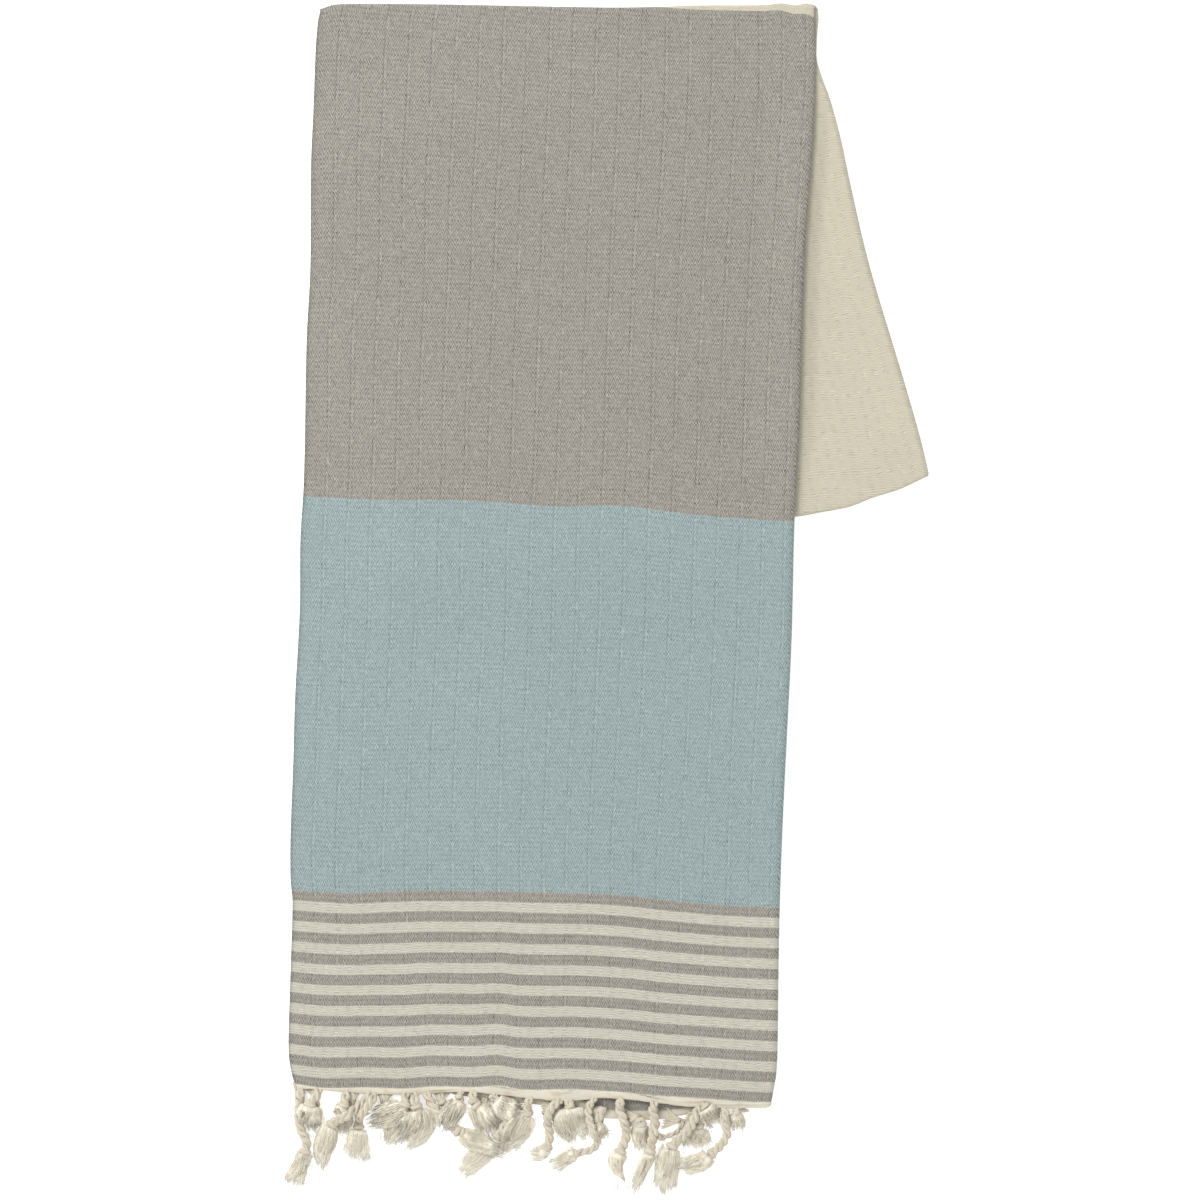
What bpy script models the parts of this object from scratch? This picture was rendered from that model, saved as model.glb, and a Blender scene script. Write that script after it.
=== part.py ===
"""Hammam towel, folded lengthwise in half and laid face up on a surface.

The cloth is doubled about a lengthwise fold at +X, laid back over itself at a top fold at
+Y, and its far end is turned under. Both hems end in twisted and knotted tassels. Metres,
+Z up, +Y towards the top fold; the origin is under the middle of the whole towel.
"""

import math

import bmesh
import bpy
from mathutils import Vector

# Cloth
SHEET = 0.0012
LAYER_PITCH = 0.0016
PAIR_GAP = 0.0008
TOWEL_LENGTH = 1.70
HALF_WIDTH = 0.447

# The towel's middle, as the outlines below measure it
CENTRE_X = -0.00075
CENTRE_Y = -0.00196

# Outlines of the face panel, down its two sides. Columns: y, x
LEFT_SIDE = (
    (0.5260, -0.2618), (0.3100, -0.2672), (0.0905, -0.2736), (-0.1000, -0.2797),
    (-0.2633, -0.2844), (-0.3400, -0.2868), (-0.4028, -0.2882), (-0.4250, -0.2862),
    (-0.4433, -0.2795),
)
RIGHT_SIDE = (
    (0.5260, 0.1836), (0.3000, 0.1765), (0.0680, 0.1674), (-0.1000, 0.1609),
    (-0.2777, 0.1539), (-0.4298, 0.1476), (-0.4500, 0.1461), (-0.4595, 0.1415),
)

# Lines across the panel that follow the weft. Columns: share from the left side, y
HEM_LINE = (
    (0.00, -0.4424), (0.05, -0.4433), (0.15, -0.4469), (0.25, -0.4466), (0.35, -0.4446),
    (0.42, -0.4469), (0.55, -0.4523), (0.65, -0.4500), (0.72, -0.4523), (0.83, -0.4577),
    (0.92, -0.4595), (1.00, -0.4593),
)
STRIPE_LINE = (
    (0.00, -0.2633), (0.17, -0.2655), (0.27, -0.2636), (0.42, -0.2645), (0.60, -0.2660),
    (0.76, -0.2723), (1.00, -0.2777),
)
BAND_LINE = (
    (0.00, 0.0914), (0.13, 0.0882), (0.34, 0.0872), (0.52, 0.0818), (0.64, 0.0824),
    (0.82, 0.0737), (1.00, 0.0680),
)
TOP_LINE = (
    (0.00, 0.5262), (0.03, 0.5279), (0.55, 0.5306), (0.97, 0.5345), (1.00, 0.5325),
)
# How far along the cloth the stripes' end lies from the hem
STRIPE_AT = 0.1796

# The under layer's hem shows below the upper one along this stretch: (share across, drop)
UNDER_HEM_DROP = (
    (0.00, -0.0030), (0.50, -0.0025), (0.57, 0.0040), (0.63, 0.0180), (0.72, 0.0175),
    (0.82, 0.0120), (0.88, 0.0030), (0.94, -0.0010), (1.00, 0.0000),
)

# The flap behind the panel: its folded side (y, x), and its bottom fold (share across, y)
FLAP_SIDE = (
    (0.5262, 0.1854), (0.5018, 0.1872), (0.4793, 0.1877), (0.4505, 0.1975),
    (0.4072, 0.2104), (0.3677, 0.2196), (0.3128, 0.2372), (0.2498, 0.2529),
    (0.1800, 0.2700), (0.1112, 0.2869), (0.0690, 0.2975),
)
FLAP_BOTTOM = (
    (0.00, 0.0690), (0.60, 0.0700), (0.715, 0.0725), (0.77, 0.0765), (0.83, 0.0815),
    (0.88, 0.0895), (0.94, 0.0975), (0.98, 0.1050), (1.00, 0.1090),
)
FLAP_LEAN = math.radians(14.0)
UNDER_INSET = 0.0036

# The far tassels under the flap lift what lies on them, from the far hem on
FAR_TASSEL_REACH = 0.087
TASSEL_LIFT = 0.0056
RISE_RAMP = 0.045
FALL_RAMP = 0.070

# Where the panel leaves the pile, it slopes down to the surface
SIDE_RAMP = (0.028, 0.105)
LOW_RAMP = (0.015, 0.125)

# The hem strips that the tassels grow from
STRIP = 0.0042
STRIP_PART = 0.0003
HEM_SPREAD = 0.0036
HEM_SPREAD_REACH = 0.080
HEM_WIDTH = RIGHT_SIDE[-1][1] - LEFT_SIDE[-1][1]

# Stations of the grids
ACROSS = (0.0, 0.02, 0.1, 0.2, 0.3, 0.4, 0.5, 0.6, 0.7, 0.8, 0.9, 0.98, 1.0)
FOLD_STEPS = 3
TURN_STEPS = 4
PANEL_ROWS = {"stripes": 6, "blue": 8, "taupe": 17}
FLAP_ROWS = 16
UNDER_ROWS = 7

# One tassel: its root along the hem, the way its cord and brush point (degrees from straight
# out of the hem, towards the fold where positive), and its lengths and brush width in mm
TASSEL_COLUMNS = ("root", "start", "middle", "end", "brush", "cord_mm", "brush_mm", "width_mm")
UNDER_TASSELS = (
    (7, -3, 5, 22, -24, 54, 36, 19),
    (26, -4, -4, -4, -4, 20, 16, 11),
    (78, 2, 5, 10, 8, 26, 24, 17),
    (105, 0, -5, -10, -35, 26, 22, 16),
    (158, 5, 8, 10, 14, 9, 28, 18),
    (184, 5, -5, -15, -54, 44, 32, 17),
    (222, -18, -18, -18, -18, 7, 16, 12),
    (237, -22, -3, -12, -66, 42, 18, 14),
    (276, -15, -15, -15, -20, 9, 16, 12),
    (305, 0, 3, 5, 8, 7, 20, 14),
    (340, -18, -34, -46, -46, 18, 16, 11),
    (366, 0, -4, -6, 0, 18, 24, 17),
    (396, 0, -3, -5, -10, 8, 16, 14),
)
UPPER_TASSELS = (
    (18, -28, -20, -10, -5, 13, 22, 19),
    (42, 0, -30, -45, -8, 31, 37, 18),
    (60, -18, -12, -3, -5, 31, 30, 20),
    (100, -15, -35, -50, -58, 18, 32, 20),
    (119, 26, 36, 62, 64, 48, 28, 17),
    (147, -8, -14, -22, -32, 8, 20, 16),
    (171, 20, 30, 42, 58, 10, 20, 18),
    (206, 0, 4, 6, -16, 20, 34, 17),
    (241, 0, 5, 10, 15, 8, 31, 22),
    (264, -12, 18, -92, -60, 68, 20, 15),
    (287, 8, 15, -18, 10, 46, 30, 14),
    (317, 14, 8, -16, -18, 46, 38, 16),
    (352, -3, -25, -42, -8, 43, 39, 17),
    (364, 14, 18, 20, 20, 7, 20, 16),
    (385, 2, 12, -52, -62, 53, 27, 18),
)

FRONT_TASSELS = {"lower": UNDER_TASSELS, "upper": UPPER_TASSELS}
FRONT_ROOT_HEIGHT = {"lower": 0.0, "upper": HEM_SPREAD - 0.0010}

# Tassel sizes: a flat root, a round cord, a knot and a spread brush
ROOT_WIDTH = 0.0080
CORD_WIDTH = 0.0076
CORD_HEIGHT = 0.0062
KNOT_WIDTH = 0.0104
KNOT_HEIGHT = 0.0078
NECK_WIDTH = 0.0086
NECK_HEIGHT = 0.0060
BRUSH_HEIGHT = 0.0040
TIP_HEIGHT = 0.0026
ROOT_HEIGHT = 0.0022
ROOT_REACH = 0.003
ROOT_CLEARANCE = 1.3
ROOT_MATCH = 1e-6
SWELL_AT = {"upper": 0.008, "lower": 0.012}
KNOT_HALF = 0.003
NECK_PAST_KNOT = 0.0066
BRUSH_SWELL = 0.8
CORD_STEP = 0.010
BRUSH_TURN = 0.009
PATH_STEP = 0.001

# Laying: tassels rest on those already down, this far apart, and the upper row's also on the
# under layer's hem where that reaches past the upper one
LAY_GAP = 0.0010
LAY_SAMPLES = 6
UNDER_HEM_SHOWS = (0.50, 0.95)
UNDER_HEM_MARGIN = 0.002

# Far tassels lie straight and pressed under the towel, the two rows side by side: where each
# row's first one stands, as a share of their spacing, and their (distance, width, height)
FAR_TASSELS_A_ROW = 13
FAR_OFFSET = {"upper": 0.2, "lower": 0.7}
FAR_RINGS = (
    (ROOT_REACH, ROOT_WIDTH, SHEET), (0.008, 0.0076, 0.0048), (0.046, 0.0076, 0.0048),
    (0.050, 0.0095, 0.0050), (0.056, 0.0095, 0.0050), (0.080, 0.0118, 0.0030),
)
FAR_LEAN = math.radians(-15.0)
FAR_SWAY = 1.0
FAR_SWAY_TURN = 2.4
FAR_ROOT_HEIGHT = {"upper": 0.6 * LAYER_PITCH, "lower": 0.0}

CLOTH_FINISH = {"colour": (0.36, 0.37, 0.34, 1.0), "roughness": 0.92, "metallic": 0.0}
FRINGE_FINISH = {"colour": (0.68, 0.62, 0.50, 1.0), "roughness": 0.88, "metallic": 0.0}


def ease(value, start, end):
    """Rise smoothly from 0 at start to 1 at end."""
    share = min(max((value - start) / (end - start), 0.0), 1.0)
    return share * share * (3.0 - 2.0 * share)


def mix(first, second, share):
    return first + (second - first) * share


def follow(table, at):
    """Read a smooth curve through a table's rows, sorted by their first column either way."""
    rows = table if table[0][0] < table[-1][0] else table[::-1]
    if at <= rows[0][0]:
        return rows[0][1] + slope(rows, 0) * (at - rows[0][0])
    if at >= rows[-1][0]:
        return rows[-1][1] + slope(rows, len(rows) - 1) * (at - rows[-1][0])
    low = max(index for index in range(len(rows) - 1) if rows[index][0] <= at)
    (x0, y0), (x1, y1) = rows[low], rows[low + 1]
    run = x1 - x0
    t = (at - x0) / run
    rise = y0 * (2 * t**3 - 3 * t**2 + 1) + y1 * (3 * t**2 - 2 * t**3)
    bend = slope(rows, low) * (t**3 - 2 * t**2 + t) + slope(rows, low + 1) * (t**3 - t**2)
    return rise + run * bend


def slope(rows, index):
    """The curve's slope at one row: between its neighbours, or along the end stretch."""
    before = max(index - 1, 0)
    after = min(index + 1, len(rows) - 1)
    return (rows[after][1] - rows[before][1]) / (rows[after][0] - rows[before][0])


def thread_end(across):
    """Where a warp thread of the towel's full length ends, turned under the flap."""
    top, bottom = follow(TOP_LINE, across), follow(FLAP_BOTTOM, across)
    panel = top - follow(HEM_LINE, across)
    flap = (top - bottom) / math.cos(FLAP_LEAN)
    return bottom + (TOWEL_LENGTH - panel - flap) * math.cos(FLAP_LEAN)


def far_edge(across):
    """The far hem under the flap: straight between the ends of its outermost threads."""
    return mix(thread_end(0.0), thread_end(1.0), across)


def far_strip_share(width):
    """Share of the turned-under end that a strip of this width takes at the far hem."""
    return width / (far_edge(0.5) - follow(FLAP_BOTTOM, 0.5))


def pile_lift(x, y):
    """Height under the flap: the turned-under cloth, then the far tassels, then nothing."""
    pair = SHEET + LAYER_PITCH + PAIR_GAP
    across = 1.0 - (follow(FLAP_SIDE, y) - x) / HALF_WIDTH
    past_hem = y - far_edge(min(max(across, 0.0), 1.0))
    lift = mix(pair, TASSEL_LIFT, ease(past_hem, -RISE_RAMP, 0.0))
    return lift * (1.0 - ease(past_hem, FAR_TASSEL_REACH, FAR_TASSEL_REACH + FALL_RAMP))


def panel_lift(x, y):
    """Height under the panel: the whole pile, easing to the surface outside its footprint."""
    pair = SHEET + LAYER_PITCH + PAIR_GAP
    past_side = follow(FLAP_SIDE, max(y, FLAP_SIDE[-1][0])) - HALF_WIDTH - x
    past_fold = FLAP_BOTTOM[0][1] - y
    on_pile = (1.0 - ease(past_side, *SIDE_RAMP)) * (1.0 - ease(past_fold, *LOW_RAMP))
    return (pile_lift(x, y) + pair) * on_pile


def layer_pitch(part, run):
    """Distance between the two layers: the upper hem lies on the roots of the lower tassels."""
    if part != "panel":
        return LAYER_PITCH
    return mix(HEM_SPREAD, LAYER_PITCH, ease(run, 0.0, HEM_SPREAD_REACH))


def section(station, pitch, skin):
    """A place in the U of the lengthwise fold: share across, reach past it, height from its middle."""
    kind, value = station
    radius = pitch / 2 + skin
    if kind == "upper":
        return value, 0.0, radius
    if kind == "lower":
        return value, 0.0, -radius
    return 1.0, radius * math.sin(value), radius * math.cos(value)


def section_stations(shares):
    """All stations of the U: the upper layer, round the fold, back along the lower layer."""
    stations = [("upper", share) for share in shares]
    turn = math.pi / (FOLD_STEPS + 1)
    stations += [("fold", turn * step) for step in range(1, FOLD_STEPS + 1)]
    return stations + [("lower", share) for share in reversed(shares)]


def hem_y(station, across):
    """The hem's line, with the under layer's own drop eased in round the fold."""
    kind, value = station
    drop = follow(UNDER_HEM_DROP, across)
    share = {"upper": 0.0, "lower": 1.0}.get(kind, value / math.pi)
    return follow(HEM_LINE, across) - drop * share


def panel_place(station, across, row):
    """Plan position of a place on the face panel. A row is (band, share towards the top fold)."""
    band, share = row
    outer = LAYER_PITCH / 2 + SHEET / 2
    top = follow(TOP_LINE, across) - fold_radius() - outer
    lines = {
        "stripes": (hem_y(station, across), follow(STRIPE_LINE, across)),
        "blue": (follow(STRIPE_LINE, across), follow(BAND_LINE, across)),
        "taupe": (follow(BAND_LINE, across), top),
    }
    y = mix(*lines[band], share)
    left = follow(LEFT_SIDE, y)
    right = follow(RIGHT_SIDE, y) - outer
    return mix(left, right, across), y


def fold_radius():
    """Radius of the middle of a doubled turn."""
    return (SHEET + LAYER_PITCH + PAIR_GAP) / 2


def flap_place(across, share):
    """Plan position on the flap, from the top fold (0) to its bottom fold (1)."""
    outer = fold_radius() + LAYER_PITCH / 2 + SHEET / 2
    top = follow(TOP_LINE, across) - outer
    y = mix(top, follow(FLAP_BOTTOM, across) + outer, share)
    return flap_x(across, y), y


def flap_x(across, y):
    outer = LAYER_PITCH / 2 + SHEET / 2
    return follow(FLAP_SIDE, y) - outer - (1.0 - across) * HALF_WIDTH


def under_place(across, share):
    """Plan position on the turned-under end, from the bottom fold (0) to the far hem (1)."""
    x, bottom = flap_place(across, 1.0)
    y = mix(bottom, far_edge(across), share)
    inset = UNDER_INSET * ease(share, 0.0, 1.0 / UNDER_ROWS)
    return flap_x(across, y) - inset, y


def towel_point(station, row, skin):
    """A point of the folded cloth: a station of the U, a row on its way, and a side of the sheet."""
    part, place = row
    on_stripes = part == "panel" and place[0] == "stripes"
    run = STRIPE_AT * place[1] if on_stripes else STRIPE_AT
    pitch = layer_pitch(part, run)
    across, reach, rise = section(station, pitch, skin)
    middle = SHEET / 2 + pitch / 2
    if part == "panel":
        x, y = panel_place(station, across, place)
        return Vector((x + reach, y, panel_lift(x, y) + middle + rise))
    if part == "top fold":
        x_panel, y_turn = panel_place(station, across, ("taupe", 1.0))
        x_flap, _ = flap_place(across, 0.0)
        high = panel_lift(x_panel, y_turn) + middle
        low = pile_lift(x_flap, y_turn) + middle
        radius = (high - low) / 2
        turn = radius + rise
        x = mix(x_panel, x_flap, place / math.pi) + reach
        return Vector((x, y_turn + turn * math.sin(place), low + radius + turn * math.cos(place)))
    if part == "flap":
        x, y = flap_place(across, place)
        return Vector((x + reach, y, pile_lift(x, y) + middle - rise))
    if part == "bottom fold":
        x, y_turn = flap_place(across, 1.0)
        high = pile_lift(x, y_turn) + middle
        radius = (high - middle) / 2
        turn = radius - rise
        z = middle + radius + turn * math.cos(place)
        return Vector((x + reach, y_turn - turn * math.sin(place), z))
    x, y = under_place(across, place)
    return Vector((x + reach, y, middle + rise))


def facet_point(station, row, skin):
    """A point on the straight facets between the cloth's columns, so that what lies along it fits."""
    kind, share = station
    if kind == "fold" or share in ACROSS:
        return towel_point(station, row, skin)
    low = max(mark for mark in ACROSS if mark < share)
    high = min(mark for mark in ACROSS if mark > share)
    ends = [towel_point((kind, mark), row, skin) for mark in (low, high)]
    return ends[0].lerp(ends[1], (share - low) / (high - low))


def towel_rows():
    """Every row of the cloth along its length, from the near hem to the far one."""
    hem_share = (STRIP + STRIP_PART) / STRIPE_AT
    rows = []
    for band, start in (("stripes", hem_share), ("blue", 0.0), ("taupe", 0.0)):
        count = PANEL_ROWS[band]
        rows += [("panel", (band, mix(start, 1.0, step / count))) for step in range(count)]
    turns = [math.pi * step / TURN_STEPS for step in range(TURN_STEPS)]
    rows += [("top fold", turn) for turn in turns]
    rows += [("flap", step / FLAP_ROWS) for step in range(FLAP_ROWS)]
    rows += [("bottom fold", turn) for turn in turns]
    far_share = 1.0 - far_strip_share(STRIP + STRIP_PART)
    rows += [("under", far_share * step / UNDER_ROWS) for step in range(UNDER_ROWS + 1)]
    return rows


def skin_grid(mesh, stations, rows, skin):
    """One face of the sheet as rows of vertices."""
    return [[mesh.verts.new(facet_point(station, row, skin)) for station in stations] for row in rows]


def sheet_grid(mesh, stations, rows):
    """Lay the sheet's two faces and join them into one closed sheet. Returns its end faces."""
    outer = skin_grid(mesh, stations, rows, SHEET / 2)
    inner = skin_grid(mesh, stations, rows, -SHEET / 2)
    last_row, last_station = len(rows) - 1, len(stations) - 1
    for r in range(last_row):
        for s in range(last_station):
            mesh.faces.new((outer[r][s], outer[r][s + 1], outer[r + 1][s + 1], outer[r + 1][s]))
            mesh.faces.new((inner[r][s], inner[r + 1][s], inner[r + 1][s + 1], inner[r][s + 1]))
    for r in range(last_row):
        mesh.faces.new((outer[r][0], outer[r + 1][0], inner[r + 1][0], inner[r][0]))
        mesh.faces.new((outer[r][-1], inner[r][-1], inner[r + 1][-1], outer[r + 1][-1]))
    ends = {}
    for s in range(last_station):
        near_face = (outer[0][s], inner[0][s], inner[0][s + 1], outer[0][s + 1])
        far_face = (outer[-1][s], outer[-1][s + 1], inner[-1][s + 1], inner[-1][s])
        ends["near", s] = mesh.faces.new(near_face)
        ends["far", s] = mesh.faces.new(far_face)
    return ends


def finish_object(name, mesh, finish):
    """Make a named object of the mesh, faces outwards, its place in its mesh, with its material."""
    bmesh.ops.translate(mesh, verts=mesh.verts, vec=(-CENTRE_X, -CENTRE_Y, 0.0))
    if mesh.calc_volume(signed=True) < 0:
        bmesh.ops.reverse_faces(mesh, faces=mesh.faces)
    data = bpy.data.meshes.new(name)
    mesh.to_mesh(data)
    mesh.free()
    material = bpy.data.materials.new(name)
    material.use_nodes = True
    shader = material.node_tree.nodes["Principled BSDF"]
    shader.inputs["Base Color"].default_value = finish["colour"]
    shader.inputs["Roughness"].default_value = finish["roughness"]
    shader.inputs["Metallic"].default_value = finish["metallic"]
    data.materials.append(material)
    piece = bpy.data.objects.new(name, data)
    bpy.context.scene.collection.objects.link(piece)
    return piece


def make_cloth():
    mesh = bmesh.new()
    sheet_grid(mesh, section_stations(ACROSS), towel_rows())
    return finish_object("cloth", mesh, CLOTH_FINISH)


def read_tassel(row, layer):
    """A tassel's row as named values in metres, its cord at least long enough to reach its knot."""
    tassel = dict(zip(TASSEL_COLUMNS, row))
    tassel["cord"] = max(tassel["cord_mm"] / 1000, SWELL_AT[layer] + KNOT_HALF)
    tassel["length"] = tassel["cord"] + tassel["brush_mm"] / 1000
    tassel["width"] = tassel["width_mm"] / 1000
    tassel["share"] = tassel["root"] / 1000 / HEM_WIDTH
    tassel["swell"] = SWELL_AT[layer]
    return tassel


def tassel_headings(tassel):
    """The way a tassel points along its length: (distance, degrees) rows."""
    cord, end = tassel["cord"], tassel["length"] + PATH_STEP
    rows = [(0.0, tassel["start"]), (cord / 2, tassel["middle"]), (cord, tassel["end"])]
    return rows + [(cord + BRUSH_TURN, tassel["brush"]), (end, tassel["brush"])]


def straight_read(rows, at):
    """Read a table by straight lines between its rows."""
    for (x0, y0), (x1, y1) in zip(rows, rows[1:]):
        if at <= x1:
            return mix(y0, y1, (at - x0) / (x1 - x0))
    return rows[-1][1]


def tassel_path(tassel, root):
    """Points and headings of a tassel's middle line in plan, one for each step of its length."""
    rows = tassel_headings(tassel)
    place, path = root.xy.copy(), []
    for step in range(round(tassel["length"] / PATH_STEP) + 1):
        angle = math.radians(straight_read(rows, step * PATH_STEP))
        path.append((place.copy(), angle))
        place += Vector((math.sin(angle), -math.cos(angle))) * PATH_STEP
    return path


def tassel_rings(tassel):
    """Rings of a front tassel: (distance, width, height) from its root to its brush's end."""
    knot, end, swell = tassel["cord"], tassel["length"], tassel["swell"]
    rings = [(ROOT_REACH, ROOT_WIDTH, ROOT_HEIGHT)]
    stretch = knot - 2 * KNOT_HALF - swell
    if stretch > 0:
        steps = math.ceil(stretch / CORD_STEP)
        marks = [swell + stretch * step / steps for step in range(steps + 1)]
        rings += [(mark, CORD_WIDTH, CORD_HEIGHT) for mark in marks]
    rings += [(knot + side * KNOT_HALF, KNOT_WIDTH, KNOT_HEIGHT) for side in (-1, 1)]
    neck = knot + NECK_PAST_KNOT
    rings.append((neck, NECK_WIDTH, NECK_HEIGHT))
    rings.append((mix(neck, end, 0.5), BRUSH_SWELL * tassel["width"], BRUSH_HEIGHT))
    rings.append((end, tassel["width"], TIP_HEIGHT))
    return rings


def ring_frame(path, distance, width):
    """Centre and side vector of a ring, in plan."""
    place, angle = path[min(round(distance / PATH_STEP), len(path) - 1)]
    return place, Vector((math.cos(angle), math.sin(angle))) * (width / 2)


def stretch_spots(rings, frames, index):
    """Places along one stretch between rings: (share of the stretch, centre, half width)."""
    spots = []
    for sample in range(LAY_SAMPLES + 1):
        share = sample / LAY_SAMPLES
        centre = frames[index][0].lerp(frames[index + 1][0], share)
        spots.append((share, centre, mix(rings[index][1], rings[index + 1][1], share) / 2))
    return spots


def height_over(centre, half, laid, ground):
    """Height that a place needs, so that it rests on the ground and on what was laid before."""
    need = ground(centre)
    for spot, reach, top in laid:
        if (spot - centre).length < reach + half + LAY_GAP:
            need = max(need, top + LAY_GAP)
    return need


def lay_heights(rings, frames, start, laid, ground):
    """Lowest height of each ring: both ends of a stretch clear all that lies under it."""
    needs = [start] + [0.0] * (len(rings) - 1)
    for index in range(len(rings) - 1):
        spots = stretch_spots(rings, frames, index)
        over = [height_over(centre, half, laid, ground) for _, centre, half in spots]
        needs[index] = max(needs[index], over[0] if index == 0 else max(over))
        needs[index + 1] = max(over)
    return needs


def remember(rings, frames, heights, laid):
    """Add a laid tassel to the obstacles that later ones rest on."""
    tops = [low + ring[2] for low, ring in zip(heights, rings)]
    for index in range(len(rings) - 1):
        for share, centre, half in stretch_spots(rings, frames, index):
            laid.append((centre, half, mix(tops[index], tops[index + 1], share)))


def grow_tassel(mesh, face, rings, frames, heights):
    """Draw a tassel out of its root face, ring by ring."""
    for (_, _, height), (centre, side), low in zip(rings, frames, heights):
        grown = bmesh.ops.extrude_discrete_faces(mesh, faces=[face])
        face = grown["faces"][0]
        middle = sum((vert.co for vert in face.verts), Vector()) / len(face.verts)
        for vert in face.verts:
            away = 1.0 if (vert.co - middle).xy.dot(side) > 0 else -1.0
            z = low + height if vert.co.z > middle.z else low
            vert.co = Vector((centre.x + away * side.x, centre.y + away * side.y, z))
    return face


def strip_stations(shares, half_share):
    """Stations of a hem strip: the two sides of each tassel root, and the cloth's own between."""
    marks = {share + side * half_share for share in shares for side in (-1, 1)}
    reach = ROOT_CLEARANCE * half_share
    clear = {mark for mark in ACROSS if all(abs(mark - share) > reach for share in shares)}
    return sorted(marks | clear | {0.0, 1.0})


def root_faces(ends, end, stations, shares):
    """The faces of one end that tassels grow from, by their row and share of the hem."""
    roots = {}
    for (side, index), face in ends.items():
        (kind, first), (other, second) = stations[index], stations[index + 1]
        for share in shares.get(kind, ()):
            if side == end and kind == other and abs((first + second) / 2 - share) < ROOT_MATCH:
                roots[kind, share] = face
    return roots


def make_fringe(name, end, rows, shares, grow):
    """A hem strip with its tassels: the strip follows the hem round the lengthwise fold."""
    mesh = bmesh.new()
    half_share = ROOT_WIDTH / 2 / HALF_WIDTH
    upper = strip_stations(shares["upper"], half_share)
    lower = strip_stations(shares["lower"], half_share)
    turn = math.pi / (FOLD_STEPS + 1)
    stations = [("upper", share) for share in upper]
    stations += [("fold", turn * step) for step in range(1, FOLD_STEPS + 1)]
    stations += [("lower", share) for share in reversed(lower)]
    ends = sheet_grid(mesh, stations, rows)
    grow(mesh, root_faces(ends, end, stations, shares))
    return finish_object(name, mesh, FRINGE_FINISH)


def grow_front(mesh, roots):
    """Lay the lower row's tassels first, then the upper row's over them."""
    laid = []
    for kind, ground in (("lower", bare_ground), ("upper", under_hem_ground)):
        for row in FRONT_TASSELS[kind]:
            tassel = read_tassel(row, kind)
            face = roots[kind, tassel["share"]]
            path = tassel_path(tassel, face.calc_center_median())
            rings = tassel_rings(tassel)
            frames = [ring_frame(path, distance, width) for distance, width, _ in rings]
            start = FRONT_ROOT_HEIGHT[kind]
            heights = lay_heights(rings, frames, start, laid, ground)
            remember(rings, frames, heights, laid)
            grow_tassel(mesh, face, rings, frames, heights)


def bare_ground(spot):
    """The surface that the towel lies on."""
    return 0.0


def under_hem_ground(spot):
    """Height to rest on over the lower layer, where its hem reaches further out."""
    across = (spot.x - LEFT_SIDE[-1][1]) / HEM_WIDTH
    edge = follow(HEM_LINE, across) - follow(UNDER_HEM_DROP, across) - UNDER_HEM_MARGIN
    shows = UNDER_HEM_SHOWS[0] < across < UNDER_HEM_SHOWS[1]
    return SHEET + LAY_GAP if shows and spot.y > edge else 0.0


def grow_far(mesh, roots):
    """Straight pressed tassels, both rows side by side on the surface, that follow the warp."""
    for index, ((kind, _), face) in enumerate(sorted(roots.items(), key=lambda item: item[0][1])):
        root = face.calc_center_median()
        sway = FAR_LEAN + math.radians(FAR_SWAY * math.sin(FAR_SWAY_TURN * index))
        way = Vector((math.sin(sway), math.cos(sway)))
        side = Vector((math.cos(sway), -math.sin(sway)))
        frames = [(root.xy + way * distance, side * width / 2) for distance, width, _ in FAR_RINGS]
        heights = [FAR_ROOT_HEIGHT[kind]] + [0.0] * (len(FAR_RINGS) - 1)
        grow_tassel(mesh, face, FAR_RINGS, frames, heights)


def front_shares(kind):
    """Roots of one front row, as shares of the hem."""
    return [read_tassel(row, kind)["share"] for row in FRONT_TASSELS[kind]]


def far_shares(kind):
    """Roots of one far row, as shares of the hem."""
    return [(index + FAR_OFFSET[kind]) / FAR_TASSELS_A_ROW for index in range(FAR_TASSELS_A_ROW)]


def main():
    for thing in list(bpy.data.objects):
        bpy.data.objects.remove(thing)
    make_cloth()
    near_rows = [("panel", ("stripes", 0.0)), ("panel", ("stripes", STRIP / STRIPE_AT))]
    far_rows = [("under", 1.0 - far_strip_share(STRIP)), ("under", 1.0)]
    front = {kind: front_shares(kind) for kind in ("upper", "lower")}
    far = {kind: far_shares(kind) for kind in ("upper", "lower")}
    make_fringe("fringe_front", "near", near_rows, front, grow_front)
    make_fringe("fringe_far", "far", far_rows, far, grow_far)


main()
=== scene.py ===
"""Looks of the folded hammam towel: cloth, rolled hems, knotted fringe, floor, light and camera.

The towel is one woven length. It is doubled about a lengthwise fold at +X, laid back over
itself at a top fold at +Y, and its far end is turned under. Outlines and folds are the part's
own, with closer marks. Metres, +Z up, +Y towards the top fold.
"""

import logging
import math
from dataclasses import dataclass, field
from enum import Enum

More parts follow.
